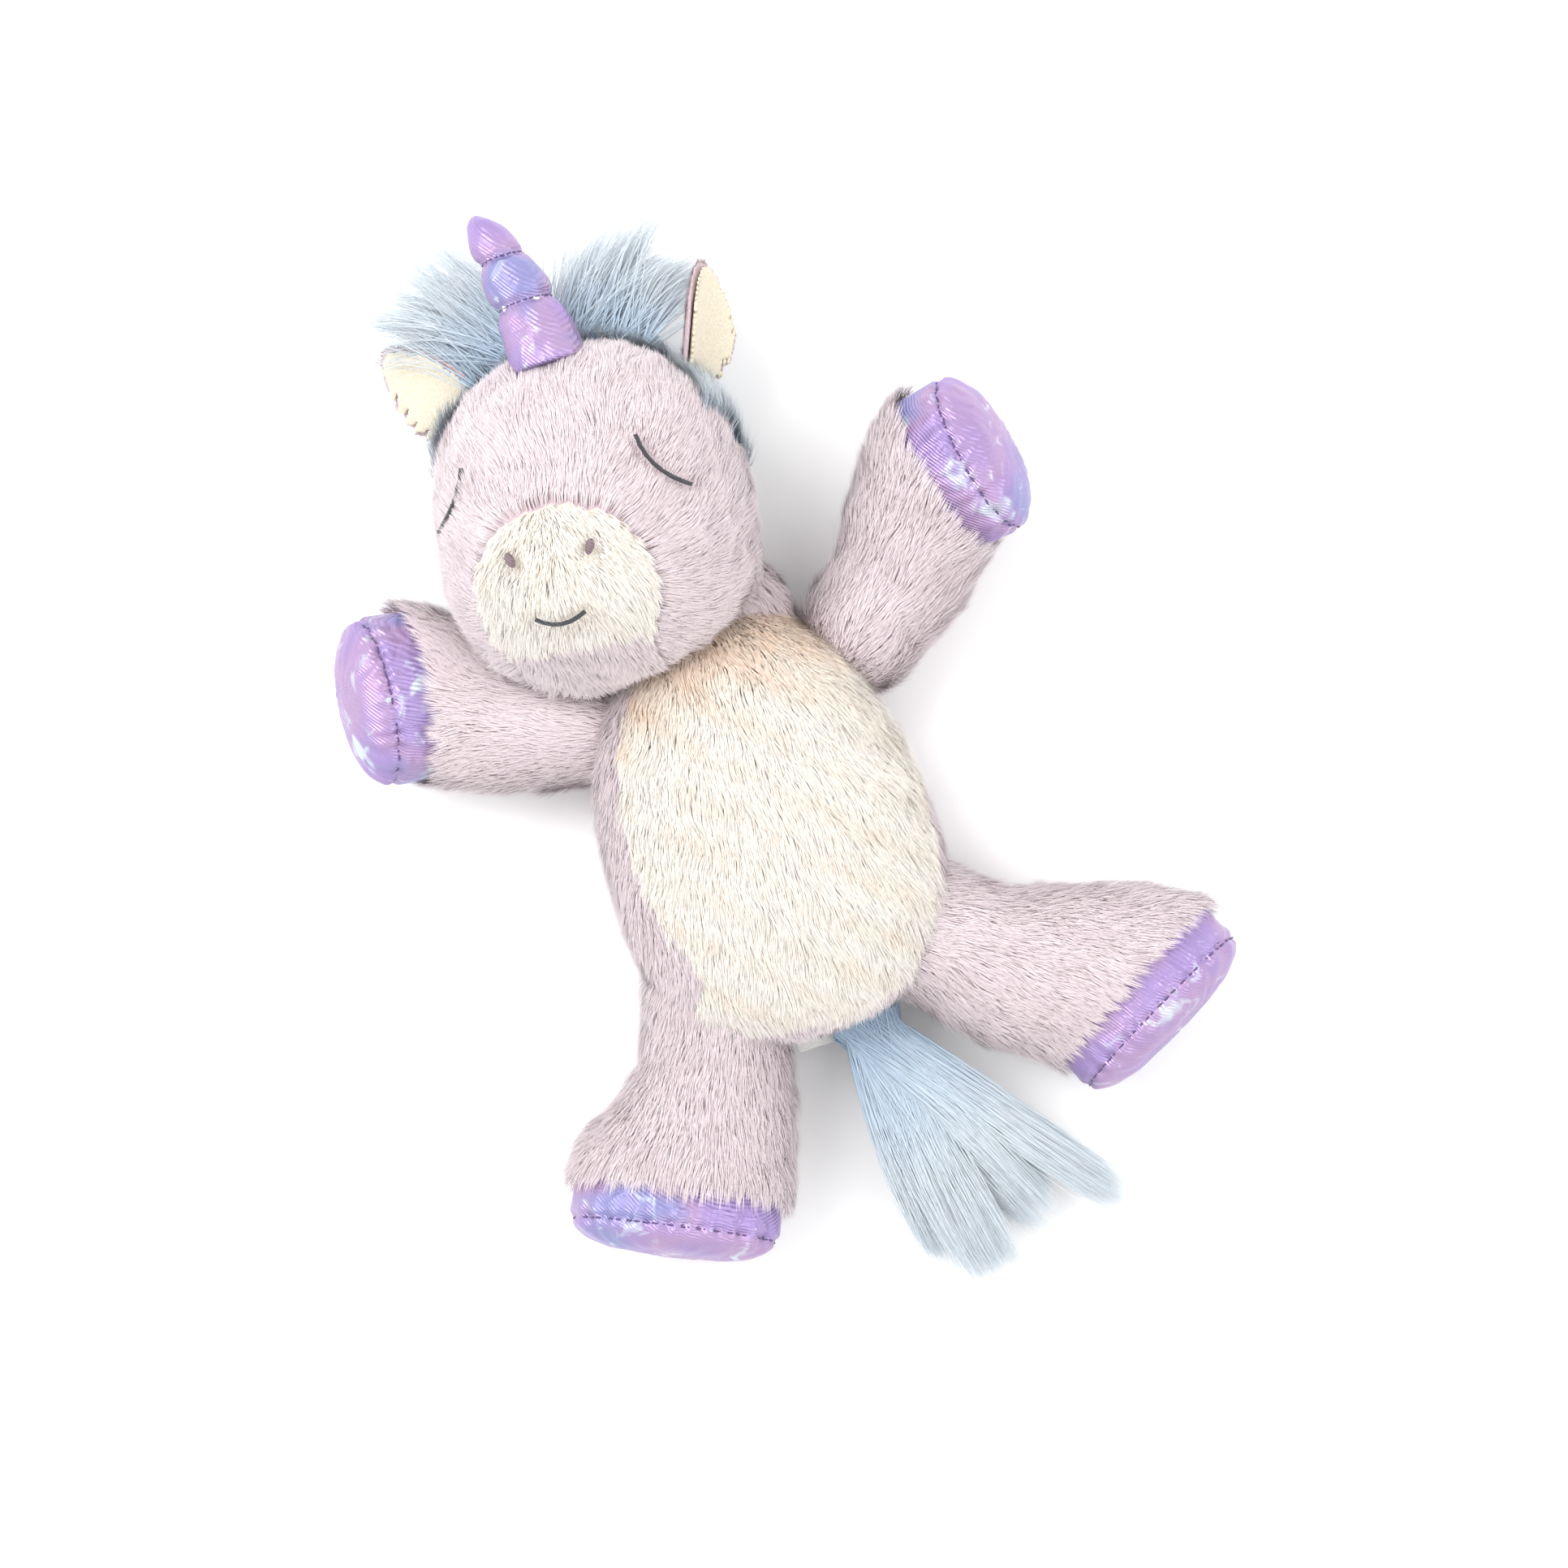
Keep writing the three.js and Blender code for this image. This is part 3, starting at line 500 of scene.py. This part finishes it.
def pile(name, mesh, flow, finish, body, seed, length=1.0, density=1.0, trim=None, tint=None):
    """Short pile over a skin. flow gives the nap's way at points, trim how much of its length
    each tuft keeps, and tint how far its tone is shifted. Every object takes a share of the
    tufts, so that none gets too heavy to print."""
    sizes = bpy.context.scene.plush_pile
    per_mm2 = sizes.density * density * 1.0
    points, normals, rng = sample(mesh, per_mm2, seed)
    count = len(points)
    way = unit(flow(points)) + 0.50 * waves(points, 26, seed + 1) + 0.28 * waves(points, 9, seed + 2)
    way = unit(way - (way * normals).sum(axis=1, keepdims=True) * normals)
    size = sizes.length * length * (1 + 0.10 * rng.normal(size=count).clip(-2, 2))
    size *= 1 + 0.25 * waves(points, 14, seed + 3)[:, 0]
    if trim:
        kept = trim(points)
        size *= kept
        tall = kept > 0.02
        points, normals, way, size = points[tall], normals[tall], way[tall], size[tall]
        count = len(points)
    lean = sizes.lean * (1 + 0.22 * waves(points, 17, seed + 4)[:, 0])
    lean = np.clip(lean + rng.normal(size=count) * 0.12, 0.1, 1.35)[:, None]
    tuft = (waves(points, 4.5, seed + 5) + 0.6 * waves(points, 2.2, seed + 6)) * 1.0 * MM
    start = points - normals * 0.4 * MM
    low, high = lean * 0.65, lean * 1.25
    half = (size / 2)[:, None]
    middle = start + half * (normals * np.cos(low) + way * np.sin(low)) + tuft * 0.25
    end = middle + half * (normals * np.cos(high) + way * np.sin(high)) + tuft * 0.75
    paths = np.stack([start, middle, end], axis=1)
    paths[:, :, 2] = np.maximum(paths[:, :, 2], 0.2 * MM)
    tone = 0.66 + 0.34 * waves(points, 20, seed + 7)[:, 1] + 0.11 * rng.normal(size=count)
    if tint:
        tone = tone + tint(points)
    tone = np.clip(tone, 0, 1)
    widths = sizes.width * (0.8 + 0.4 * rng.random(count)) * 1.0
    shares = max(1, math.ceil(count / MOST_TUFTS))
    for share in range(shares):
        cut = slice(share, None, shares)
        title = name if shares == 1 else f"{name}_{share + 1}"
        ribbon_object(title, paths[cut], normals[cut], widths[cut], tone[cut], finish, body)


def gather(paths, roots, count, hold, rng):
    """Draws each hair towards one of a few leading hairs, more so at its tip."""
    t = np.linspace(0, 1, paths.shape[1])[None, :, None]
    leaders = rng.choice(len(paths), size=min(count, len(paths)), replace=False)
    ends = paths[:, -1]
    distance = ((ends[:, None] - ends[leaders][None]) ** 2).sum(axis=2)
    leader = leaders[np.argmin(distance, axis=1)]
    pull = hold * t**1.25 * (0.7 + 0.3 * rng.random((len(paths), 1, 1)))
    return paths + (paths[leader] - paths) * pull


def long_hair(name, roots, normals, ways, lengths, locks, finish, body, seed, sway_mm=5, fall=0.25):
    """Long fibres gathered in a few pointed locks, each of finer strands, that droop."""
    rng = np.random.default_rng(seed)
    count, steps = len(roots), 8
    t = np.linspace(0, 1, steps)[None, :, None]
    ways, lift = unit(ways), unit(normals)
    reach = lengths[:, None, None]
    paths = roots[:, None] + reach * ways[:, None] * t
    paths = paths + lift[:, None] * reach * 0.22 * np.sin(t * math.pi * 0.75)
    paths[:, :, 2] -= (reach * fall * t**2)[:, :, 0]
    paths = gather(paths, roots, locks[0], locks[1], rng)
    paths = gather(paths, roots, locks[2], 0.6, rng)
    bend = waves(roots + ways * 0.01, 16, seed + 1)[:, None] * sway_mm * MM * t**1.5
    stray = rng.normal(size=(count, 1, 3)) * 1.1 * MM * t**2
    paths = paths + bend + stray
    paths[:, :, 2] = np.maximum(paths[:, :, 2], 0.6 * MM)
    tone = 0.6 + 0.4 * waves(roots, 7, seed + 2)[:, 0] + 0.16 * rng.normal(size=count)
    widths = bpy.context.scene.plush_pile.hair_width * (0.7 + 0.6 * rng.random(count))
    facing = unit(0.6 * lift + [0.0, 0.0, 1.0])
    return ribbon_object(name, paths, facing, widths, np.clip(tone, 0, 1), finish, body)


def tube(work, path, radius, sides=6):
    """Adds a closed tube with rounded ends along a short path."""
    path = np.asarray(path)
    ahead = unit(np.gradient(path, axis=0))
    side = unit(np.cross(ahead, [0.31, 0.52, 0.79]))
    other = np.cross(ahead, side)
    rings = []
    thick = radius * np.sin(np.linspace(0.12, 0.88, len(path)) * math.pi) ** 0.35
    for k, centre in enumerate(path):
        ring = []
        for i in range(sides):
            a = 2 * math.pi * i / sides
            spoke = side[k] * math.cos(a) + other[k] * math.sin(a)
            ring.append(work.verts.new(centre + spoke * thick[k]))
        rings.append(ring)
    for one, two in zip(rings, rings[1:]):
        for i in range(sides):
            j = (i + 1) % sides
            work.faces.new((one[i], one[j], two[j], two[i]))
    work.faces.new(rings[0][::-1])
    work.faces.new(rings[-1])


def stitch_row(name, path, finish, body, length_mm=2.4, space_mm=1.1, radius_mm=0.4):
    """A row of separate stitches along a path of points."""
    path = np.asarray(path)
    run = np.concatenate([[0], np.cumsum(np.linalg.norm(np.diff(path, axis=0), axis=1))])
    work = bmesh.new()
    place = 0.0
    while place + length_mm * MM < run[-1]:
        at = np.linspace(place, place + length_mm * MM, 5)
        points = np.stack([np.interp(at, run, path[:, i]) for i in range(3)], axis=1)
        tube(work, points, radius_mm * MM)
        place += (length_mm + space_mm) * MM
    mesh = bpy.data.meshes.new(name)
    work.to_mesh(mesh)
    work.free()
    return new_object(name, mesh, finish, body)


def plane_of(name):
    """Middle and unit normal of a flat ring of thread."""
    points = np.array([v.co[:] for v in NODES[name].data.vertices])
    middle = points.mean(axis=0)
    return middle, np.linalg.svd(points - middle)[2][2]


def ring_on(skin, middle, normal, lift_mm, count=160):
    """Points where a plane meets a skin, going round."""
    tree = BVHTree.FromObject(skin, bpy.context.evaluated_depsgraph_get())
    side = unit(np.cross(normal, [0.0, 0.0, 1.0]))
    other = np.cross(normal, side)
    ring = []
    for i in range(count + 1):
        a = 2 * math.pi * i / count
        way = Vector(side * math.cos(a) + other * math.sin(a))
        far = Vector(middle) + way * 0.08
        hit = tree.ray_cast(far, -way)[0]
        if hit is not None:
            ring.append(np.array(hit + way * lift_mm * MM))
    return ring


def pucker(mesh, middle, normal, depth_mm, reach_mm, ripples, seed):
    """Draws a skin in along a seam and ruffles the cloth beside it."""
    count = len(mesh.vertices)
    verts = np.empty(count * 3)
    mesh.vertices.foreach_get("co", verts)
    verts = verts.reshape(-1, 3)
    normals = np.empty(count * 3)
    mesh.vertices.foreach_get("normal", normals)
    normals = normals.reshape(-1, 3)
    away = (verts - middle) @ normal
    side = unit(np.cross(normal, [0.0, 0.0, 1.0]))
    other = np.cross(normal, side)
    turn = np.arctan2((verts - middle) @ other, (verts - middle) @ side)
    uneven = 1 + 0.8 * waves(verts, 18, seed)[:, 0]
    ruffle = np.sin(turn * ripples + 5 * waves(verts, 22, seed + 1)[:, 1]) * uneven
    near = np.exp(-np.abs(away) / (reach_mm * MM))
    move = -depth_mm * np.exp(-((away / (1.5 * MM)) ** 2)) + 0.55 * depth_mm * ruffle * near
    move += 0.5 * waves(verts, 12, seed + 2)[:, 2]
    mesh.vertices.foreach_set("co", (verts + normals * move[:, None] * MM).ravel())
    mesh.update()


def refine(mesh, cuts=1):
    work = bmesh.new()
    work.from_mesh(mesh)
    bmesh.ops.subdivide_edges(work, edges=work.edges[:], cuts=cuts, use_grid_fill=True, smooth=0.6)
    work.to_mesh(mesh)
    work.free()


def joint(name):
    return next(j for j in frame["joints"] if j["name"] == name)


def middle_of(name):
    low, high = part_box(name)
    return (np.array(low) + np.array(high)) / 2


# ------------------------------------------------------------------ operators


class PLUSH_OT_stage(bpy.types.Operator):
    """Camera above the toy, a plain pale floor and large soft lights"""

    bl_idname = "plush.stage"
    bl_label = "Stage"

    def execute(self, context):
        scene = bpy.context.scene
        scene.view_settings.view_transform = "Standard"
        camera = bpy.data.objects.new("camera", bpy.data.cameras.new("camera"))
        camera.data.lens = 85
        camera.data.sensor_width = 36
        scene.collection.objects.link(camera)
        span = 0.568
        height = span / camera.data.sensor_width * camera.data.lens
        camera.location = (0.009, 0.0076, height + 0.04)
        camera.rotation_euler = (0, 0, math.radians(-18))
        scene.camera = camera
        floor_mesh = bpy.data.meshes.new("floor")
        reach = 3.0
        corners = [(-reach, -reach, 0), (reach, -reach, 0), (reach, reach, 0), (-reach, reach, 0)]
        floor_mesh.from_pydata([(x, y, -0.6 * MM) for x, y, _ in corners], [], [(0, 1, 2, 3)])
        floor = bpy.data.objects.new("floor", floor_mesh)
        scene.collection.objects.link(floor)
        paper, _, shader = material("matte_white_paper", Roughness=0.9)
        shader.inputs["Base Color"].default_value = (0.93, 0.93, 0.93, 1)
        floor_mesh.materials.append(paper)
        world = bpy.data.worlds.new("soft_room")
        world.use_nodes = True
        world.node_tree.nodes["Background"].inputs[0].default_value = (1, 1, 1, 1)
        world.node_tree.nodes["Background"].inputs[1].default_value = 1.15
        scene.world = world
        for name, place, size, power in (
            ("key", (-0.7, 0.8, 1.5), 1.0, 22.0),
            ("fill", (1.0, -0.4, 1.3), 1.2, 8.0),
        ):
            lamp = bpy.data.lights.new(name, "AREA")
            lamp.size = size
            lamp.energy = power
            light = bpy.data.objects.new(name, lamp)
            light.location = place
            light.rotation_euler = (-Vector(place)).to_track_quat("-Z", "Y").to_euler()
            scene.collection.objects.link(light)
        return {"FINISHED"}


class PLUSH_OT_stuffing(bpy.types.Operator):
    """Fibre stuffing, the bean pouch, seam allowances and the blank label, kept from the CAD"""

    bl_idname = "plush.stuffing"
    bl_label = "Stuffing"

    def execute(self, context):
        for name, obj in NODES.items():
            finish = None
            if name.endswith("filling") or name == "seat_bean_pouch":
                finish = "fibre"
            elif name.endswith("root_seam") or name == "closing_seam":
                finish = "pink_knit"
            elif name == "care_label":
                finish = "tape"
            if finish:
                obj.data.materials.clear()
                obj.data.materials.append(MATERIALS[finish])
        return {"FINISHED"}


class PLUSH_OT_torso(bpy.types.Operator):
    """Belly and back panels with their pile"""

    bl_idname = "plush.torso"
    bl_label = "Torso"

    def execute(self, context):
        names = ["belly_panel", "torso_back_panel"]
        shell = names + ["torso_filling"]
        lows, highs = zip(*(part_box(name) for name in shell))
        low, high = np.min(lows, axis=0), np.max(highs, axis=0)
        skin = torso_bag(low, high)
        parts = split_skin(skin, names, ["belly_skin", "torso_back_skin"])
        bpy.data.objects.remove(skin)

        def flow(points):
            out = points * [1.0, 0.1, 0.35] / 0.05
            return out * 0.35 + [0.0, -1.0, -0.1]

        def peach(points):
            up = (points[:, 1] - 25 * MM) / (45 * MM)
            return 0.12 - 0.62 * np.clip(up, 0, 1)

        for label, node_name, cloth, fur, seed in (
            ("belly_skin", "belly_panel", "cream_knit", "cream", 11),
            ("torso_back_skin", "torso_back_panel", "pink_knit", "pink", 31),
        ):
            mesh = parts[label]
            warm = peach if fur == "cream" else None
            close = 1.3 if fur == "cream" else 1.0
            title = label.replace("skin", "pile")
            pile(title, mesh, flow, fur, "torso", seed, density=close, tint=warm)
            finish_skin(label, mesh, cloth, "torso", [node_name])
        return {"FINISHED"}


def torso_bag(low, high):
    """A rounded bag that fills the torso's box, flat underneath, fullest at the seat."""
    work = bmesh.new()
    bmesh.ops.create_uvsphere(work, u_segments=96, v_segments=64, radius=1)
    middle = (low + high) / 2
    half = (high - low) / 2
    fullness, taper = 2.35, 0.13
    for vert in work.verts:
        d = vert.co.normalized()
        p = d * (sum(abs(c) ** fullness for c in d) ** (-1 / fullness))
        x = p.x * (1 - taper * p.y) * half[0] * 0.98
        z = max(middle[2] + p.z * half[2] * 1.05, low[2] + 0.3 * MM)
        vert.co = (middle[0] + x, middle[1] + p.y * half[1], z)
    mesh = bpy.data.meshes.new("torso_bag")
    work.to_mesh(mesh)
    work.free()
    obj = bpy.data.objects.new("torso_bag", mesh)
    bpy.context.scene.collection.objects.link(obj)
    return obj


class PLUSH_OT_limbs(bpy.types.Operator):
    """Arms and legs: pile shafts, gathered hooves and their stitched seams"""

    bl_idname = "plush.limbs"
    bl_label = "Limbs"

    def execute(self, context):
        for number, limb in enumerate(LIMBS):
            self.limb(limb, 100 + 20 * number)
        return {"FINISHED"}

    def limb(self, limb, seed):
        names = [f"{limb}_cover", f"{limb}_hoof_band", f"{limb}_hoof_sole"]
        skin = stuffed_skin(limb, names + [f"{limb}_filling"], 2.6, 7, 0.6)
        labels = [f"{limb}_skin", f"{limb}_band", f"{limb}_sole"]
        pivot = np.array(joint(f"{limb}_lift")["pos_m"])
        tip = middle_of(f"{limb}_hoof_sole")
        along = unit(tip - pivot)
        seam, normal = plane_of(f"{limb}_hoof_seam")
        normal = normal * np.sign(normal @ along)
        parts = split_skin(skin, names, labels)
        bpy.data.objects.remove(skin)

        def flow(points):
            spokes = points - pivot
            spokes = spokes - (spokes @ along)[:, None] * along
            return along + 0.25 * unit(spokes)

        mesh = parts[f"{limb}_skin"]
        pile(f"{limb}_pile", mesh, flow, "pink", limb, seed)
        finish_skin(f"{limb}_skin", mesh, "pink_knit", limb, [f"{limb}_cover"])
        for label, node_name, cloth in (
            ("band", f"{limb}_hoof_band", "lame"),
            ("sole", f"{limb}_hoof_sole", "lame_sole"),
        ):
            mesh = parts[f"{limb}_{label}"]
            refine(mesh)
            pucker(mesh, seam, normal, 1.3, 6, 23, seed + 9)
            finish_skin(f"{limb}_{label}", mesh, cloth, limb, [node_name])
        ring = ring_on(bpy.data.objects[f"{limb}_sole"], seam + normal * 0.4 * MM, normal, 0.2)
        ring = ring or ring_on(bpy.data.objects[f"{limb}_band"], seam, normal, 0.2)
        row = stitch_row(f"{limb}_stitches", ring, "purple", limb)
        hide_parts(f"{limb}_hoof_seam")


class PLUSH_OT_head(bpy.types.Operator):
    """Face, back of the head, mane, muzzle and chin with their pile"""

    bl_idname = "plush.head"
    bl_label = "Head"

    def execute(self, context):
        names = ["head_face_panel", "head_back_panel", "head_mane_panel", "muzzle_panel", "chin_panel"]
        skin = stuffed_skin("head", names + ["head_filling"], 3.0, 6)
        labels = ["face_skin", "head_back_skin", "mane_skin", "muzzle_skin", "chin_skin"]
        parts = split_skin(skin, names, labels)
        bpy.data.objects.remove(skin)
        centre = middle_of("head_filling")
        nose = middle_of("muzzle_panel")
        crown = unit(middle_of("horn_cover") - centre)
        marks = self.feature_points()

        def face_flow(points):
            return unit(points - nose) * [1, 1, 0.4] + 0.25 * crown

        def muzzle_flow(points):
            return 0.5 * unit(points - nose) - 0.9 * crown

        def back_flow(points):
            return -crown + 0.3 * unit(points - centre)

        def mane_flow(points):
            return 0.7 * crown + 0.9 * unit(points - centre) * [1, 1, 0.2]

        def trim(points):
            nearest = np.full(len(points), 1.0)
            for chunk in range(0, len(points), 4000):
                some = points[chunk : chunk + 4000]
                gap = np.linalg.norm(some[:, None] - marks[None], axis=2).min(axis=1)
                nearest[chunk : chunk + 4000] = np.clip(gap / (7 * MM), 0.30, 1.0)
            return nearest

        for label, node_name, cloth, fur, flow, length, density, seed in (
            ("face", "head_face_panel", "pink_knit", "pink", face_flow, 0.85, 1.15, 210),
            ("head_back", "head_back_panel", "pink_knit", "pink", back_flow, 1.0, 1.0, 230),
            ("mane", "head_mane_panel", "blue_knit", "blue", mane_flow, 1.7, 1.0, 250),
            ("muzzle", "muzzle_panel", "cream_knit", "cream", muzzle_flow, 0.85, 1.25, 270),
            ("chin", "chin_panel", "pink_knit", "pink", muzzle_flow, 0.85, 1.1, 290),
        ):
            mesh = parts[f"{label}_skin"]
            cut = trim if label in ("face", "muzzle") else None
            pale = (lambda points: 0.15) if fur == "cream" else None
            pile(f"{label}_pile", mesh, flow, fur, "head", seed, length, density, cut, pale)
            finish_skin(f"{label}_skin", mesh, cloth, "head", [node_name])
        return {"FINISHED"}

    def feature_points(self):
        points = []
        for name in NODES:
            if name.startswith(("eye_stitch_left", "mouth_stitch", "nostril")):
                points.extend(v.co[:] for v in NODES[name].data.vertices)
        return np.array(points)[::3]


class PLUSH_OT_features(bpy.types.Operator):
    """Satin-stitched eyes, nostrils and mouth, lying on the pile; the far eye sinks into it"""

    bl_idname = "plush.features"
    bl_label = "Embroidery"

    def execute(self, context):
        centre = middle_of("head_filling")
        for name in NODES:
            if not name.startswith(("eye_stitch", "mouth_stitch", "nostril")):
                continue
            mesh = NODES[name].data.copy()
            refine(mesh)
            points = np.array([v.co[:] for v in mesh.vertices])
            middle = points.mean(axis=0)
            out = unit(middle - centre)
            proud = 0.4 * MM if name == "eye_stitch_right" else 1.9 * MM
            raised = points + out * proud
            raised += waves(points, 3, 5) * 0.25 * MM
            mesh.vertices.foreach_set("co", raised.ravel())
            finish = "mauve" if name.startswith("nostril") else "charcoal"
            piece = new_object(name.replace("stitch", "embroidery") + "_thread", mesh, finish, "head")
            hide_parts(name)
        return {"FINISHED"}


class PLUSH_OT_neck(bpy.types.Operator):
    """The short stuffed neck between the shoulders and the head"""

    bl_idname = "plush.neck"
    bl_label = "Neck"

    def execute(self, context):
        skin = stuffed_skin("neck", ["neck_cover", "neck_filling"], 2.6, 5)
        mesh = skin.data
        bpy.data.objects.remove(skin)
        pile("neck_pile", mesh, lambda p: np.tile([0.3, -1.0, 0.1], (len(p), 1)), "pink", "neck", 310, 0.8)
        finish_skin("neck_skin", mesh, "pink_knit", "neck", ["neck_cover"])
        return {"FINISHED"}


class PLUSH_OT_ears(bpy.types.Operator):
    """Cupped ears: pile backs and velour linings"""

    bl_idname = "plush.ears"
    bl_label = "Ears"

    def execute(self, context):
        for number, side in enumerate(SIDES):
            body = f"ear_{side}"
            back = stuffed_skin(body, [f"{body}_back"], 1.1, 5)
            mesh = back.data
            bpy.data.objects.remove(back)
            lining = middle_of(f"{body}_lining")
            root = np.array(joint(f"{body}_fold")["pos_m"])
            up = unit(middle_of(f"{body}_back") - root)
            tree = BVHTree.FromPolygons(
                [v.co.copy() for v in NODES[f"{body}_lining"].data.vertices],
                [list(p.vertices) for p in NODES[f"{body}_lining"].data.polygons],
            )

            def clear(points):
                kept = [tree.find_nearest(Vector(p))[3] for p in points]
                return np.clip((np.array(kept) - 2.2 * MM) / (1.6 * MM), 0.0, 1.0)

            pile(f"{body}_pile", mesh, lambda p: np.tile(up, (len(p), 1)), "pink", body,
                 330 + 20 * number, 0.75, 1.2, clear)
            finish_skin(f"{body}_skin", mesh, "pink_knit", body, [f"{body}_back"])
            inner = stuffed_skin(f"{body}_inner", [f"{body}_lining"], 0.8, 3, 0.45)
            cloth = inner.data
            bpy.data.objects.remove(inner)
            piece = new_object(f"{body}_velour", cloth, "velour", body)
            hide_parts(f"{body}_lining")
        return {"FINISHED"}


class PLUSH_OT_horn(bpy.types.Operator):
    """Stuffed lamé horn, gathered twice with dark thread"""

    bl_idname = "plush.horn"
    bl_label = "Horn"

    def execute(self, context):
        skin = stuffed_skin("horn", ["horn_cover", "horn_filling"], 1.0, 4, 0.4)
        mesh = skin.data
        bpy.data.objects.remove(skin)
        rings = [plane_of(f"horn_gather_{i}") for i in (1, 2)]
        for number, (middle, normal) in enumerate(rings):
            pucker(mesh, middle, normal, 0.7, 3.5, 11, 400 + number)
        horn = finish_skin("horn_skin", mesh, "lame", "horn", ["horn_cover"])
        for number, (middle, normal) in enumerate(rings):
            ring = ring_on(horn, middle, normal, 0.15, 90)
            row = stitch_row(f"horn_gather_thread_{number + 1}", ring, "purple", "horn", 1.8, 0.7, 0.3)
            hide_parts(f"horn_gather_{number + 1}")
        return {"FINISHED"}


class PLUSH_OT_hair(bpy.types.Operator):
    """Forelock beside the horn and the long tail"""

    bl_idname = "plush.hair"
    bl_label = "Hair"

    def execute(self, context):
        mane = bpy.data.objects["mane_skin"].data
        points, normals, rng = sample(mane, 5.0, 500)
        low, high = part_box("horn_cover")
        root = np.array([(low[0] + high[0]) / 2, low[1], (low[2] + high[2]) / 2])
        for side, angle, size, seed in (("left", 28, 78, 510), ("right", 136, 94, 530)):
            way = np.array([math.cos(math.radians(angle)), math.sin(math.radians(angle)), 0.12])
            lateral = (points - root) @ unit(np.array([way[0], way[1] * 0.35, 0.0]))
            near = np.linalg.norm(points - root, axis=1)
            chosen = (lateral > -4 * MM) & (near < 34 * MM)
            roots, out = points[chosen], normals[chosen]
            fan = waves(roots, 30, seed + 3) * [1, 1, 0.6]
            ways = way + 0.36 * fan + 0.25 * rng.normal(size=roots.shape) * [1, 1, 0.5]
            closeness = 1 - near[chosen] / (40 * MM)
            lengths = size * MM * (0.42 + 0.62 * closeness) * (0.8 + 0.3 * rng.random(len(roots)))
            hair = long_hair(f"forelock_{side}_long_pile", roots, out, ways, lengths, (12, 0.6, 90), "blue",
                             "head", seed)
            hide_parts(f"forelock_{side}_hair")
        self.tail()
        return {"FINISHED"}

    def tail(self):
        rng = np.random.default_rng(600)
        low, high = (np.array(corner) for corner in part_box("tail_tab"))
        pivot = np.array(joint("tail_lift")["pos_m"])
        count = 12000
        angles = np.radians(rng.uniform(-101, -47, count))
        ways = np.stack([np.cos(angles), np.sin(angles), np.full(count, -0.05)], axis=1)
        roots = pivot + rng.uniform(-1, 1, (count, 3)) * [11 * MM, 3 * MM, 5 * MM]
        roots[:, 2] -= 5 * MM
        roots += ways * -6 * MM
        lengths = 120 * MM * (0.60 + 0.40 * rng.random(count))
        normals = np.tile([0.0, 0.0, 1.0], (count, 1))
        hair = long_hair("tail_long_pile", roots, normals, ways, lengths, (8, 0.72, 70), "blue",
                         "tail", 610, sway_mm=8, fall=0.10)
        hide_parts("tail_hair")
        tab = stuffed_skin("tail_root", ["tail_tab"], 1.2, 3)
        mesh = tab.data
        bpy.data.objects.remove(tab)
        piece = new_object("tail_tab_cloth", mesh, "blue_knit", "tail_root")
        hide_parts("tail_tab")


STEPS = (
    PLUSH_OT_stage,
    PLUSH_OT_stuffing,
    PLUSH_OT_torso,
    PLUSH_OT_limbs,
    PLUSH_OT_neck,
    PLUSH_OT_head,
    PLUSH_OT_features,
    PLUSH_OT_ears,
    PLUSH_OT_horn,
    PLUSH_OT_hair,
)


class PLUSH_PT_panel(bpy.types.Panel):
    """Lists the plush's pieces and sizes"""

    bl_idname = "PLUSH_PT_panel"
    bl_label = "Plush unicorn"
    bl_space_type = "VIEW_3D"
    bl_region_type = "UI"
    bl_category = "Plush"

    def draw(self, context):
        for group in (context.scene.plush_pile, context.scene.plush_colours):
            for name in group.__annotations__:
                self.layout.prop(group, name)
        for step in STEPS:
            self.layout.operator(step.bl_idname)


CLASSES = (PLUSH_PG_pile, PLUSH_PG_colours, *STEPS, PLUSH_PT_panel)


def register():
    for made in CLASSES:
        bpy.utils.register_class(made)
    bpy.types.Scene.plush_pile = bpy.props.PointerProperty(type=PLUSH_PG_pile)
    bpy.types.Scene.plush_colours = bpy.props.PointerProperty(type=PLUSH_PG_colours)


def unregister():
    del bpy.types.Scene.plush_colours
    del bpy.types.Scene.plush_pile
    for made in reversed(CLASSES):
        bpy.utils.unregister_class(made)


def main():
    register()
    MATERIALS.update(make_materials())
    for step in STEPS:
        group, name = step.bl_idname.split(".")
        getattr(getattr(bpy.ops, group), name)()


if __name__ == "__main__":
    main()
